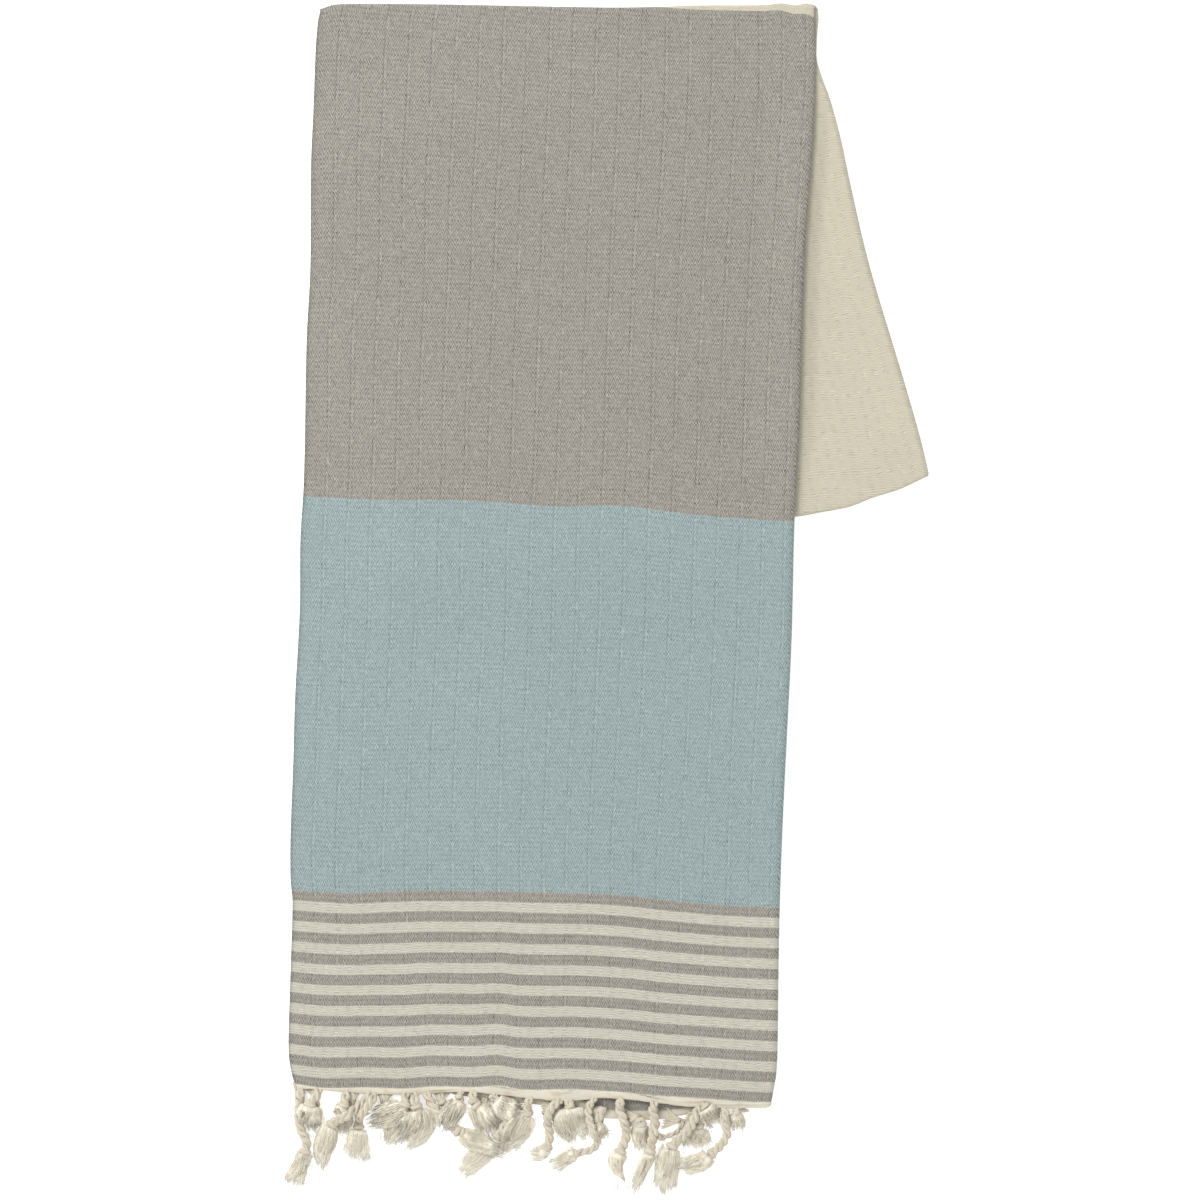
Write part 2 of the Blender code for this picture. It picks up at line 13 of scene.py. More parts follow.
import bpy
import numpy as np
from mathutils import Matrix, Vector


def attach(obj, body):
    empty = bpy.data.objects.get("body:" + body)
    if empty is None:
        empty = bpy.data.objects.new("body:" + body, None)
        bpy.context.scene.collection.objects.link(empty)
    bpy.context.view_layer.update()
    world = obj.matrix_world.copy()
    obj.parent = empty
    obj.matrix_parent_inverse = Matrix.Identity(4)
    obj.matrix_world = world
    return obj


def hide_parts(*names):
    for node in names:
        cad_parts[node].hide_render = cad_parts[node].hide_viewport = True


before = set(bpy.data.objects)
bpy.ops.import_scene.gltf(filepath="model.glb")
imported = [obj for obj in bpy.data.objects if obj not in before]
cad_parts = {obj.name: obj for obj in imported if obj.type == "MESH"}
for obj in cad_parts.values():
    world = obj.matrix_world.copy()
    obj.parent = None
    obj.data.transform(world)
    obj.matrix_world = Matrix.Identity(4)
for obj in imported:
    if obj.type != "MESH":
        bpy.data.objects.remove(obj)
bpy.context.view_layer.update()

log = logging.getLogger("towel")

# Short names for type hints
Array = np.ndarray
Piece = bpy.types.Object
Span = tuple[float, float]

MM = 0.001
PHOTO_WIDTH_PX = 1200
MM_PER_PX = 0.9


class Layer(Enum):
    """The two layers of the doubled towel."""

    UPPER = "upper"
    LOWER = "lower"


class Part(Enum):
    """The towel's parts on its way from the near hem to the far one."""

    STRIPES = "stripes"
    BLUE = "blue"
    TAUPE = "taupe"
    TOP_FOLD = "top fold"
    FLAP = "flap"
    BOTTOM_FOLD = "bottom fold"
    UNDER = "under"


class Line:
    """A smooth curve through a few marks."""

    def __init__(self, *marks: Span) -> None:
        """Keep the marks in order.

        Args:
            marks: Pairs of a place and the value there.
        """
        rows = sorted(marks)
        self.places = np.array([row[0] for row in rows])
        self.values = np.array([row[1] for row in rows])
        low = np.maximum(np.arange(len(rows)) - 1, 0)
        high = np.minimum(np.arange(len(rows)) + 1, len(rows) - 1)
        rise = self.values[high] - self.values[low]
        self.slopes = rise / (self.places[high] - self.places[low])

    def __call__(self, at: Array) -> Array:
        """Read the curve, which runs straight on past its ends.

        Args:
            at: Places along it.

        Returns:
            The values there.
        """
        at = np.asarray(at, float)
        last = len(self.places) - 2
        low = np.clip(np.searchsorted(self.places, at, side="right") - 1, 0, last)
        run = self.places[low + 1] - self.places[low]
        t = np.clip((at - self.places[low]) / run, 0.0, 1.0)
        value = self.values[low] * (2 * t**3 - 3 * t**2 + 1)
        value += self.values[low + 1] * (3 * t**2 - 2 * t**3)
        value += run * self.slopes[low] * (t**3 - 2 * t**2 + t)
        value += run * self.slopes[low + 1] * (t**3 - t**2)
        before = np.minimum(at - self.places[0], 0.0) * self.slopes[0]
        after = np.maximum(at - self.places[-1], 0.0) * self.slopes[-1]
        return value + before + after


def ease(value: Array, start: float, end: float) -> Array:
    """Rise smoothly from 0 at start to 1 at end."""
    share = np.clip((value - start) / (end - start), 0.0, 1.0)
    return share * share * (3.0 - 2.0 * share)


def mix(first: Array, second: Array, share: Array) -> Array:
    """Go from the first value to the second by a share."""
    return first + (second - first) * share


def rows_of(*values: Array | float) -> Array:
    """Put values that go together, such as x, y and z, side by side on a last axis."""
    return np.stack(np.broadcast_arrays(*values), -1)


def deselect() -> None:
    """Leave edit mode and deselect every object."""
    if bpy.context.object and bpy.context.object.mode != "OBJECT":
        bpy.ops.object.mode_set(mode="OBJECT")
    bpy.ops.object.select_all(action="DESELECT")


def make_active(piece: Piece) -> None:
    """Select one object alone and make it the active one."""
    deselect()
    piece.select_set(True)
    bpy.context.view_layer.objects.active = piece


def read_points(piece: Piece) -> Array:
    """Give the places of a mesh's vertices as rows of x, y, z."""
    places = np.empty(len(piece.data.vertices) * 3)
    piece.data.vertices.foreach_get("co", places)
    return places.reshape(-1, 3)


def write_points(piece: Piece, places: Array) -> None:
    """Move a mesh's vertices to the given rows of x, y, z."""
    piece.data.vertices.foreach_set("co", np.ascontiguousarray(places, float).ravel())
    piece.data.update()


def keep_values(piece: Piece, name: str, values: Array) -> None:
    """Store a vector for each vertex under a name, for the material to read."""
    stored = piece.data.attributes.new(name, "FLOAT_VECTOR", "POINT")
    stored.data.foreach_set("vector", np.ascontiguousarray(values, float).ravel())


def keep_uv(piece: Piece, flat: Array) -> None:
    """Write the flat place of each vertex into the mesh's UV map, in metres.

    Args:
        piece: The object whose UV map is written.
        flat: Rows of across and along.
    """
    mesh = piece.data
    corners = np.empty(len(mesh.loops), int)
    mesh.loops.foreach_get("vertex_index", corners)
    layer = mesh.uv_layers.active or mesh.uv_layers.new(name="UVMap")
    layer.data.foreach_set("uv", np.ascontiguousarray(flat[corners], float).ravel())


def flat_grid(name: str, columns: int, rows: int) -> tuple[Piece, Array, Array]:
    """Add a flat grid to be laid into place.

    Args:
        name: Its name.
        columns: Vertices across it.
        rows: Vertices along it.

    Returns:
        The object, and each vertex's column and row.
    """
    deselect()
    bpy.ops.mesh.primitive_grid_add(x_subdivisions=columns - 1, y_subdivisions=rows - 1, size=1.0)
    piece = bpy.context.object
    piece.name = name
    piece.data.name = name
    places = read_points(piece)
    column = np.rint((places[:, 0] + 0.5) * (columns - 1)).astype(int)
    row = np.rint((places[:, 1] + 0.5) * (rows - 1)).astype(int)
    return piece, column, row


@dataclass(frozen=True)
class Sheet:
    """The cloth's thickness and how far apart its layers lie."""

    thick: float = 1.2 * MM
    woven: float = 1.1 * MM
    pitch: float = 1.6 * MM
    pair_gap: float = 0.8 * MM
    length: float = 1.70
    half_width: float = 0.447

    @property
    def pair(self) -> float:
        """Height that one doubled layer takes."""
        return self.thick + self.pitch + self.pair_gap

    @property
    def turn_radius(self) -> float:
        """Radius of the middle of a doubled turn."""
        return self.pair / 2

    @property
    def outer(self) -> float:
        """How far the lengthwise fold reaches past the cloth's last flat thread."""
        return (self.pitch + self.thick) / 2


@dataclass(frozen=True)
class Pattern:
    """Where the woven bands lie along the cloth, in metres from the near hem."""

    hem: float = 7.0 * MM
    stripe_step: float = 18.24 * MM
    stripe_width: float = 9.55 * MM
    stripe_lead: float = 1.1 * MM
    stripes_end: float = 0.1796
    blue_end: float = 0.536
    taupe_end: float = 0.995


@dataclass(frozen=True)
class Tuck:
    """A small pleat of the near hem: middle and reach in shares across, the rest in mm."""

    middle: float
    reach: float
    at: float
    slope: float
    height: float
    sharp: float = 0.45
    fade: float = 4.5

    def rise(self, run: float, across: Array) -> Array:
        """Give its height.

        Args:
            run: Distance from the hem's edge.
            across: Shares across the doubled cloth.

        Returns:
            Heights to add.
        """
        aside = across - self.middle
        past = run / MM - self.at - self.slope * aside
        lip = ease(past, -self.sharp, self.sharp) * np.exp(-np.maximum(past, 0.0) / self.fade)
        return self.height * MM * np.exp(-((aside / self.reach) ** 2)) * lip


@dataclass
class Folds:
    """The towel's outlines and the way it is folded and laid."""

    sheet: Sheet = field(default_factory=Sheet)
    pattern: Pattern = field(default_factory=Pattern)
    centre: Span = (-0.00075, -0.00196)

    # Face panel: its two sides by place up the plan, and its weft lines by share across
    left_side: Line = Line(
        (0.5305, -0.2588), (0.5233, -0.2611), (0.5090, -0.2629), (0.4840, -0.2644),
        (0.4300, -0.2661), (0.3900, -0.2676), (0.3000, -0.2684), (0.2317, -0.2722),
        (0.1060, -0.2749), (0.0517, -0.2781), (-0.0100, -0.2786), (-0.0922, -0.2829),
        (-0.1463, -0.2844), (-0.2180, -0.2870), (-0.2540, -0.2869), (-0.2740, -0.2852),
        (-0.3262, -0.2866), (-0.3982, -0.2887), (-0.4163, -0.2879), (-0.4342, -0.2842),
        (-0.4433, -0.2795),
    )
    right_side: Line = Line(
        (0.5260, 0.1848), (0.4800, 0.1853), (0.4200, 0.1835), (0.3127, 0.1760),
        (0.2500, 0.1737), (0.1500, 0.1708),
        (0.0680, 0.1667), (-0.0382, 0.1645), (-0.1103, 0.1611), (-0.2002, 0.1567),
        (-0.2720, 0.1541), (-0.3262, 0.1530), (-0.4163, 0.1517), (-0.4342, 0.1501),
        (-0.4525, 0.1466), (-0.4582, 0.1449), (-0.4604, 0.1405),
    )
    hem_line: Line = Line(
        (0.00, -0.4424), (0.05, -0.4433), (0.15, -0.4469), (0.25, -0.4466), (0.35, -0.4446),
        (0.42, -0.4469), (0.55, -0.4523), (0.65, -0.4500), (0.72, -0.4523), (0.83, -0.4577),
        (0.92, -0.4595), (1.00, -0.4593),
    )
    hem_top: Line = Line(
        (0.00, -0.4377), (0.05, -0.4411), (0.09, -0.4414), (0.15, -0.4407), (0.22, -0.4419),
        (0.30, -0.4396), (0.38, -0.4401), (0.43, -0.4385), (0.47, -0.4419), (0.58, -0.4420),
        (0.69, -0.4446), (0.73, -0.4462), (0.80, -0.4486), (0.86, -0.4503), (0.95, -0.4536),
        (1.00, -0.4540),
    )
    stripe_line: Line = Line(
        (0.00, -0.2633), (0.06, -0.2651), (0.12, -0.2664), (0.19, -0.2652), (0.27, -0.2640),
        (0.42, -0.2647), (0.50, -0.2655), (0.56, -0.2663), (0.63, -0.2669), (0.70, -0.2691),
        (0.80, -0.2740), (0.90, -0.2776), (1.00, -0.2789),
    )
    band_line: Line = Line(
        (0.00, 0.0914), (0.13, 0.0882), (0.34, 0.0872), (0.52, 0.0818), (0.64, 0.0824),
        (0.82, 0.0737), (1.00, 0.0680),
    )
    top_line: Line = Line(
        (0.00, 0.5300), (0.03, 0.5342), (0.10, 0.5347), (0.25, 0.5343), (0.40, 0.5330),
        (0.58, 0.5315), (0.68, 0.5321), (0.76, 0.5335), (0.90, 0.5337), (0.933, 0.5354),
        (0.96, 0.5335), (0.985, 0.5352), (1.00, 0.5335),
    )
    # The under layer's hem lies this much lower than the upper one
    under_hem_drop: Line = Line(
        (0.00, -0.0030), (0.29, -0.0025), (0.34, 0.0045), (0.46, 0.0060), (0.54, 0.0070),
        (0.60, 0.0110), (0.65, 0.0180), (0.72, 0.0175),
        (0.82, 0.0120), (0.88, 0.0030), (0.94, -0.0010), (1.00, 0.0000),
    )
    # How much the upper layer's hem stands off the lower one, how far up that goes, and pleats
    hem_lift: Line = Line(
        (0.00, 0.0), (0.27, 0.0004), (0.36, 0.0030), (0.60, 0.0036), (0.84, 0.0034),
        (0.93, 0.0008), (1.00, 0.0),
    )
    hem_lift_reach: Span = (0.010, 0.070)
    hem_tucks: tuple[Tuck, ...] = (
        Tuck(0.125, 0.042, 16.0, 0.0, 2.4), Tuck(0.300, 0.032, 2.8, 10.0, 1.8),
        Tuck(0.440, 0.030, 5.8, -20.0, 2.4), Tuck(0.560, 0.020, 4.6, 30.0, 2.0),
        Tuck(0.745, 0.030, 5.2, -60.0, 3.2), Tuck(0.835, 0.030, 3.6, 30.0, 1.8),
        Tuck(0.930, 0.050, 3.2, 12.0, 2.0),
    )
    # How far past the last taupe thread the top fold's crest lies
    crest_past_taupe: Line = Line(
        (0.00, -0.0200), (0.40, -0.0060), (0.65, 0.0004), (0.77, 0.0056), (0.85, 0.0064),
        (0.93, 0.0078), (0.97, 0.0100), (1.00, 0.0120),
    )
    # Flap: its folded side by place up the plan, and its bottom fold by share across
    flap_side: Line = Line(
        (0.5320, 0.1880), (0.5233, 0.1890), (0.5090, 0.1878), (0.4950, 0.1871),
        (0.4830, 0.1873), (0.4657, 0.1924), (0.4477, 0.1991), (0.4118, 0.2087),
        (0.3757, 0.2163), (0.3397, 0.2244), (0.3037, 0.2331), (0.2677, 0.2434),
        (0.2317, 0.2544), (0.1777, 0.2706), (0.1417, 0.2807), (0.1112, 0.2880),
        (0.0690, 0.2975),
    )
    flap_bottom: Line = Line(
        (0.00, 0.0690), (0.60, 0.0700), (0.715, 0.0725), (0.77, 0.0765), (0.83, 0.0815),
        (0.88, 0.0895), (0.94, 0.0975), (0.98, 0.1050), (1.00, 0.1090),
    )
    flap_lean: float = math.radians(14.0)
    under_inset: float = 3.6 * MM
    under_inset_reach: float = 1.0 / 7.0

    # What the flap and the panel lie on
    tassel_reach: float = 0.087
    tassel_lift: float = 5.6 * MM
    rise_ramp: float = 0.045
    fall_ramp: float = 0.070
    side_ramp: Span = (0.028, 0.105)
    low_ramp: Span = (0.015, 0.125)
    low_from: float = 0.0690
    hem_spread: float = 3.6 * MM
    hem_spread_reach: float = 0.080
    hem_left: float = -0.2795
    hem_width: float = 0.421

    # The soft roll of the lengthwise fold, on the panel and on the flap
    panel_roll: float = 3.4 * MM
    flap_roll: float = 1.8 * MM
    roll_reach: float = 0.09
    panel_roll_top: Span = (0.40, 0.50)
    panel_roll_foot: Span = (-0.455, -0.39)
    flap_roll_top: Span = (0.36, 0.45)
    flap_roll_foot: Span = (0.11, 0.17)

    # Slow waves of cloth that lies loosely: radians for each metre across and along, and where
    # they start. The flap has a share of them, which fades out towards both of its folds
    wave: float = 0.5 * MM
    wave_turns: tuple = (
        (9.0, 21.0, 0.6), (31.0, -12.0, 2.1), (57.0, 23.0, 1.0), (-11.0, 17.0, 0.0),
    )
    flap_wave: float = 0.5
    flap_wave_top: Span = (0.0, 0.05)
    flap_wave_foot: Span = (0.9, 1.0)

    # The flap stays raised beside the panel's side and drops a little way out from it
    ridge_height: float = 4.6 * MM
    ridge_near: Span = (-0.050, -0.006)
    ridge_drop: Span = (0.002, 0.0150)
    ridge_foot: Span = (0.075, 0.170)
    ridge_top: Span = (0.400, 0.475)

    def ridge(self, x: Array, y: Array) -> Array:
        """Give how far the flap and the panel on it stay raised beside the panel's side.

        Args:
            x: Places across the plan.
            y: Places along the plan.

        Returns:
            Heights to add.
        """
        past = x - self.right_side(y)
        near = ease(past, *self.ridge_near) * (1.0 - ease(past, *self.ridge_drop))
        along = ease(y, *self.ridge_foot) * (1.0 - ease(y, *self.ridge_top))
        return self.ridge_height * near * along

    def thread_end(self, across: Array) -> Array:
        """Say where warp threads of the towel's full length end, turned under the flap.

        Args:
            across: Shares across the doubled cloth.

        Returns:
            How far up the plan they end.
        """
        top, bottom = self.top_line(across), self.flap_bottom(across)
        lean = math.cos(self.flap_lean)
        used = top - self.hem_line(across) + (top - bottom) / lean
        return bottom + (self.sheet.length - used) * lean

    def far_edge(self, across: Array) -> Array:
        """Give the far hem: straight between the ends of its outermost threads."""
        return mix(self.thread_end(0.0), self.thread_end(1.0), across)

    def flap_run(self, across: Array) -> Array:
        """Give the flap's length along its warp."""
        return (self.top_line(across) - self.flap_bottom(across)) / math.cos(self.flap_lean)

    def far_share(self, width: float) -> float:
        """Give the share of the turned-under end that a strip at the far hem takes."""
        return width / float(self.far_edge(0.5) - self.flap_bottom(0.5))

    def waves(self, x: Array, y: Array) -> Array:
        """Give the slow unevenness of cloth that lies loosely, from nought up.

        Args:
            x: Places across the plan.
            y: Places along the plan.

        Returns:
            Heights to add.
        """
        first, second, third, fourth = (
            np.sin(across * x + along * y + start) for across, along, start in self.wave_turns
        )
        return self.wave * (0.5 + 0.2 * (first + second) + 0.1 * third * fourth)

    def pile_lift(self, x: Array, y: Array) -> Array:
        """Give the height under the flap: turned-under cloth, far tassels, then nothing.

        Args:
            x: Places across the plan.
            y: Places along the plan.

        Returns:
            The heights there.
        """
        across = 1.0 - (self.flap_side(y) - x) / self.sheet.half_width
        past_hem = y - self.far_edge(np.clip(across, 0.0, 1.0))
        lift = mix(self.sheet.pair, self.tassel_lift, ease(past_hem, -self.rise_ramp, 0.0))
        end = self.tassel_reach + self.fall_ramp
        return lift * (1.0 - ease(past_hem, self.tassel_reach, end))

    def panel_lift(self, x: Array, y: Array) -> Array:
        """Give the height under the panel: the whole pile, then down to the surface.

        Args:
            x: Places across the plan.
            y: Places along the plan.

        Returns:
            The heights there.
        """
        side = self.flap_side(np.maximum(y, self.low_from))
        past_side = side - self.sheet.half_width - x
        on_pile = 1.0 - ease(past_side, *self.side_ramp)
        on_pile = on_pile * (1.0 - ease(self.low_from - y, *self.low_ramp))
        return (self.pile_lift(x, y) + self.sheet.pair) * on_pile + self.ridge(x, y)

    def row(self, part: Part, place: float, across: Array, turn: Array,
            skin: float = 0.0) -> Array:
        """Lay one row of the doubled cloth.

        Args:
            part: The part of the towel that the row is in.
            place: Its share of that part, or its angle round a fold.
            across: Each point's share across the doubled cloth.
            turn: Its angle round the lengthwise fold, 0 on the upper layer, pi on the lower.
            skin: Distance outwards from the middle of the sheet.

        Returns:
            Rows of x, y, z.
        """
        if part in (Part.STRIPES, Part.BLUE, Part.TAUPE):
            return self.panel_row(part, place, across, turn, skin)
        pitch = self.sheet.pitch
        if part is Part.FLAP:
            _, y = self.flap_place(across, place)
            pitch = self.flap_pitch(across, y)
        reach = (pitch / 2 + skin) * np.sin(turn)
        rise = (pitch / 2 + skin) * np.cos(turn)
        middle = self.sheet.thick / 2 + pitch / 2
        if part is Part.TOP_FOLD:
            x_panel, y_turn = self.panel_place(Part.TAUPE, 1.0, across, turn)
            x_flap, _ = self.flap_place(across, 0.0)
            high = self.panel_lift(x_panel, y_turn) + middle + self.waves(x_panel, y_turn)
            low = self.pile_lift(x_flap, y_turn) + middle
            radius = (high - low) / 2
            x = mix(x_panel, x_flap, place / math.pi) + reach
            y = y_turn + (radius + rise) * math.sin(place)
            z = low + radius + (radius + rise) * math.cos(place)
            return rows_of(x, y, z)
        if part is Part.FLAP:
            x, y = self.flap_place(across, place)
            loose = ease(place, *self.flap_wave_top) * (1.0 - ease(place, *self.flap_wave_foot))
            loose = self.flap_wave * self.waves(x, y) * loose
            z = self.pile_lift(x, y) + self.ridge(x, y) + middle - rise + loose
            return rows_of(x + reach, y, z)
        if part is Part.BOTTOM_FOLD:
            x, y_turn = self.flap_place(across, 1.0)
            high = self.pile_lift(x, y_turn) + middle
            radius = (high - middle) / 2
            y = y_turn - (radius - rise) * math.sin(place)
            z = middle + radius + (radius - rise) * math.cos(place)
            return rows_of(x + reach, y, z)
        x, y = self.under_place(across, place)
        return rows_of(x + reach, y, middle + rise)

    def panel_place(self, part: Part, share: float, across: Array,
                    turn: Array) -> tuple[Array, Array]:
        """Give places on the face panel's plan.

        Args:
            part: The band that the row is in.
            share: Its share of the band, towards the top fold.
            across: Shares across the doubled cloth.
            turn: Angles round the lengthwise fold.

        Returns:
            Their x and y.
        """
        if part is Part.STRIPES:
            y = self.stripes_place(share, across)
            y = y - self.under_hem_drop(across) * (1.0 - share) * turn / math.pi
        elif part is Part.BLUE:
            y = mix(self.stripe_line(across), self.band_line(across), share)
        else:
            top = self.top_line(across) - self.sheet.turn_radius - self.sheet.outer
            y = mix(self.band_line(across), top, share)
        outer = (self.panel_pitch(part, share, across, y) + self.sheet.thick) / 2
        return mix(self.left_side(y), self.right_side(y) - outer, across), y

    def stripes_place(self, share: float, across: Array) -> Array:
        """Give y of places between the near hem's edge and the last stripe.

        Args:
            share: Share of the way, past the hem and all stripes.
            across: Shares across the doubled cloth.

        Returns:
            Their y.
        """
        pattern = self.pattern
        run = share * pattern.stripes_end
        in_hem = mix(self.hem_line(across), self.hem_top(across), run / pattern.hem)
        past = (run - pattern.hem) / (pattern.stripes_end - pattern.hem)
        past_hem = mix(self.hem_top(across), self.stripe_line(across), past)
        return np.where(past < 0, in_hem, past_hem)

    def hem_rise(self, run: float, across: Array, turn: Array) -> Array:
        """Give what the near hem adds to the height: its lift off the lower layer, and its pleats.

        Args:
            run: Distance from the hem's edge.
            across: Shares across the doubled cloth.
            turn: Angles round the lengthwise fold.

        Returns:
            Heights to add.
        """
        rise = self.hem_lift(across) * (1.0 - ease(run, *self.hem_lift_reach))
        rise = rise + sum(tuck.rise(run, across) for tuck in self.hem_tucks)
        return rise * (0.5 + 0.5 * np.cos(turn))

    def panel_pitch(self, part: Part, share: float, across: Array, y: Array) -> Array:
        """Give the distance between the panel's two layers.

        Args:
            part: The band that the row is in.
            share: Its share of the band.
            across: Shares across the doubled cloth.
            y: Places along the plan.

        Returns:
            The distances.
        """
        run = self.pattern.stripes_end * (share if part is Part.STRIPES else 1.0)
        pitch = mix(self.hem_spread, self.sheet.pitch, ease(run, 0.0, self.hem_spread_reach))
        roll = self.panel_roll * ease(across, 1.0 - self.roll_reach, 1.0)
        roll = roll * (1.0 - ease(y, *self.panel_roll_top)) * ease(y, *self.panel_roll_foot)
        return pitch + roll

    def panel_row(self, part: Part, share: float, across: Array, turn: Array,
                  skin: float) -> Array:
        """Lay one row of the face panel.

        Args:
            part: The band that the row is in.
            share: Its share of the band.
            across: Shares across the doubled cloth.
            turn: Angles round the lengthwise fold.
            skin: Distance outwards from the middle of the sheet.

        Returns:
            Rows of x, y, z.
        """
        x, y = self.panel_place(part, share, across, turn)
        pitch = self.panel_pitch(part, share, across, y)
        reach = (pitch / 2 + skin) * np.sin(turn)
        rise = (pitch / 2 + skin) * np.cos(turn)
        z = self.panel_lift(x, y) + self.waves(x, y) + self.sheet.thick / 2 + pitch / 2 + rise
        if part is Part.STRIPES:
            z = z + self.hem_rise(share * self.pattern.stripes_end, across, turn)
        return rows_of(x + reach, y, z)

    def flap_place(self, across: Array, share: float) -> tuple[Array, Array]:
        """Give places on the flap's plan, from the top fold (0) to its bottom fold (1).

        Args:
            across: Shares across the doubled cloth.
            share: Share along the flap.

        Returns:
            Their x and y.
        """
        outer = self.sheet.turn_radius + self.sheet.outer
        y = mix(self.top_line(across) - outer, self.flap_bottom(across) + outer, share)
        return self.flap_x(across, y), y

    def flap_pitch(self, across: Array, y: Array) -> Array:
        """Give the distance between the flap's two layers."""
        roll = self.flap_roll * ease(across, 1.0 - self.roll_reach, 1.0)
        roll = roll * (1.0 - ease(y, *self.flap_roll_top)) * ease(y, *self.flap_roll_foot)
        return self.sheet.pitch + roll

    def flap_x(self, across: Array, y: Array) -> Array:
        """Give x of places on the flap and on what is turned under it."""
        outer = (self.flap_pitch(across, y) + self.sheet.thick) / 2
        return self.flap_side(y) - outer - (1.0 - across) * self.sheet.half_width

    def under_place(self, across: Array, share: float) -> tuple[Array, Array]:
        """Give places on the turned-under end, from the bottom fold (0) to the far hem (1).

        Args:
            across: Shares across the doubled cloth.
            share: Share along it.

        Returns:
            Their x and y.
        """
        _, bottom = self.flap_place(across, 1.0)
        y = mix(bottom, self.far_edge(across), share)
        inset = self.under_inset * ease(share, 0.0, self.under_inset_reach)
        side = self.flap_side(y) - self.sheet.outer
        return side - (1.0 - across) * self.sheet.half_width - inset, y

    def along(self, part: Part, place: float, across: Array) -> Array:
        """Give the flat distance from the near hem to a row.

        Args:
            part: The part of the towel that the row is in.
            place: Its share of that part, or its angle round a fold.
            across: Shares across the doubled cloth.

        Returns:
            Distances along the cloth.
        """
        pattern, radius = self.pattern, self.sheet.turn_radius + self.sheet.pitch / 2
        if part is Part.STRIPES:
            return pattern.stripes_end * place + 0.0 * across
        if part is Part.BLUE:
            return mix(pattern.stripes_end, pattern.blue_end, place) + 0.0 * across
        turn = pattern.taupe_end + self.crest_past_taupe(across) - radius * math.pi / 2
        if part is Part.TAUPE:
            return mix(pattern.blue_end, turn, place)
        if part is Part.TOP_FOLD:
            return turn + radius * place
        flap = turn + radius * math.pi
        if part is Part.FLAP:
            return flap + self.flap_run(across) * place
        end = flap + self.flap_run(across)
        if part is Part.BOTTOM_FOLD:
            return end + radius * place
        rest = (self.far_edge(across) - self.flap_bottom(across)) / math.cos(self.flap_lean)
        return end + radius * math.pi + rest * place

    def settle(self, places: Array) -> Array:
        """Move places from the photo's origin to the middle of the whole towel."""
        return places - np.array((*self.centre, 0.0))


# ---- Node helpers


@dataclass(frozen=True)
class Value:
    """An output in a node tree, with the sums that a material makes of it."""

    tree: bpy.types.NodeTree
    socket: bpy.types.NodeSocket

    def calc(self, operation: str, *others: "Value | float") -> "Value":
        """Add a Math node that takes this value first and the others after it."""
        return calc(self.tree, operation, self, *others)

    def __add__(self, other: "Value | float") -> "Value":
        """Add something to it."""
        return self.calc("ADD", other)

    def __sub__(self, other: "Value | float") -> "Value":
        """Subtract something from it."""
        return self.calc("SUBTRACT", other)

    def __rsub__(self, other: float) -> "Value":
        """Subtract it from a number."""
        return calc(self.tree, "SUBTRACT", other, self)

    def __mul__(self, other: "Value | float") -> "Value":
        """Multiply it."""
        return self.calc("MULTIPLY", other)

    def __truediv__(self, other: "Value | float") -> "Value":
        """Divide it."""
        return self.calc("DIVIDE", other)

    __radd__ = __add__
    __rmul__ = __mul__

    def step(self, start: float, end: float) -> "Value":
        """Rise smoothly from 0 to 1.

        Args:
            start: Where it is 0.
            end: Where it is 1.

        Returns:
            The share.
        """
        node = add_node(self.tree, "ShaderNodeMapRange",
                        {"Value": self, "From Min": start, "From Max": end},
                        interpolation_type="SMOOTHSTEP")
        return Value(self.tree, node.outputs["Result"])

    def band(self, marks: tuple[float, float, float, float]) -> "Value":
        """Rise from 0 to 1 between the first two marks and fall between the last two."""
        return self.step(*marks[:2]) - self.step(*marks[2:])


def feed(node: bpy.types.Node, inputs: dict[str | int, object]) -> None:
    """Link or set a node's inputs.

    Args:
        node: The node.
        inputs: An input's name or number, to a Value, number, vector or colour.
    """
    for key, value in inputs.items():
        if isinstance(value, Value):
            value.tree.links.new(value.socket, node.inputs[key])
        else:
            node.inputs[key].default_value = value


def add_node(tree: bpy.types.NodeTree, kind: str, inputs: dict[str | int, object],
             **settings: object) -> bpy.types.Node:
    """Add a node.

    Args:
        tree: The node tree.
        kind: The node's type.
        inputs: What its inputs are fed.
        settings: The node's own settings.

    Returns:
        The node.
    """
    node = tree.nodes.new(kind)
    for name, value in settings.items():
        setattr(node, name, value)
    feed(node, inputs)
    return node


def calc(tree: bpy.types.NodeTree, operation: str, *values: Value | float) -> Value:
    """Add a Math node with the given operation and inputs."""
    node = add_node(tree, "ShaderNodeMath", dict(enumerate(values)), operation=operation)
    return Value(tree, node.outputs[0])


def noise(vector: Value, scale: float, detail: float = 2.0, roughness: float = 0.5) -> Value:
    """Add a noise texture.

    Args:
        vector: Where it is read.
        scale: Its scale.
        detail: Its levels of detail.
        roughness: Strength of the finer levels.

    Returns:
        Its value, about 0.5 on average.
    """
    inputs = {"Vector": vector, "Scale": scale, "Detail": detail, "Roughness": roughness}
    node = add_node(vector.tree, "ShaderNodeTexNoise", inputs)
    return Value(vector.tree, node.outputs["Fac"])


def scatter(across: Value, along: Value, cell: Span) -> Value:
    """Give each cell of a flat grid its own chance value.

    Args:
        across: Place across.
        along: Place along.
        cell: The cells' size.

    Returns:
        A value from -0.5 to 0.5.
    """
    tree = across.tree
    places = [(value / size).calc("FLOOR") for value, size in zip((across, along), cell)]
    joined = add_node(tree, "ShaderNodeCombineXYZ", dict(enumerate(places)))
    node = add_node(tree, "ShaderNodeTexWhiteNoise", {"Vector": Value(tree, joined.outputs[0])},
                    noise_dimensions="2D")
    return Value(tree, node.outputs["Value"]) - 0.5


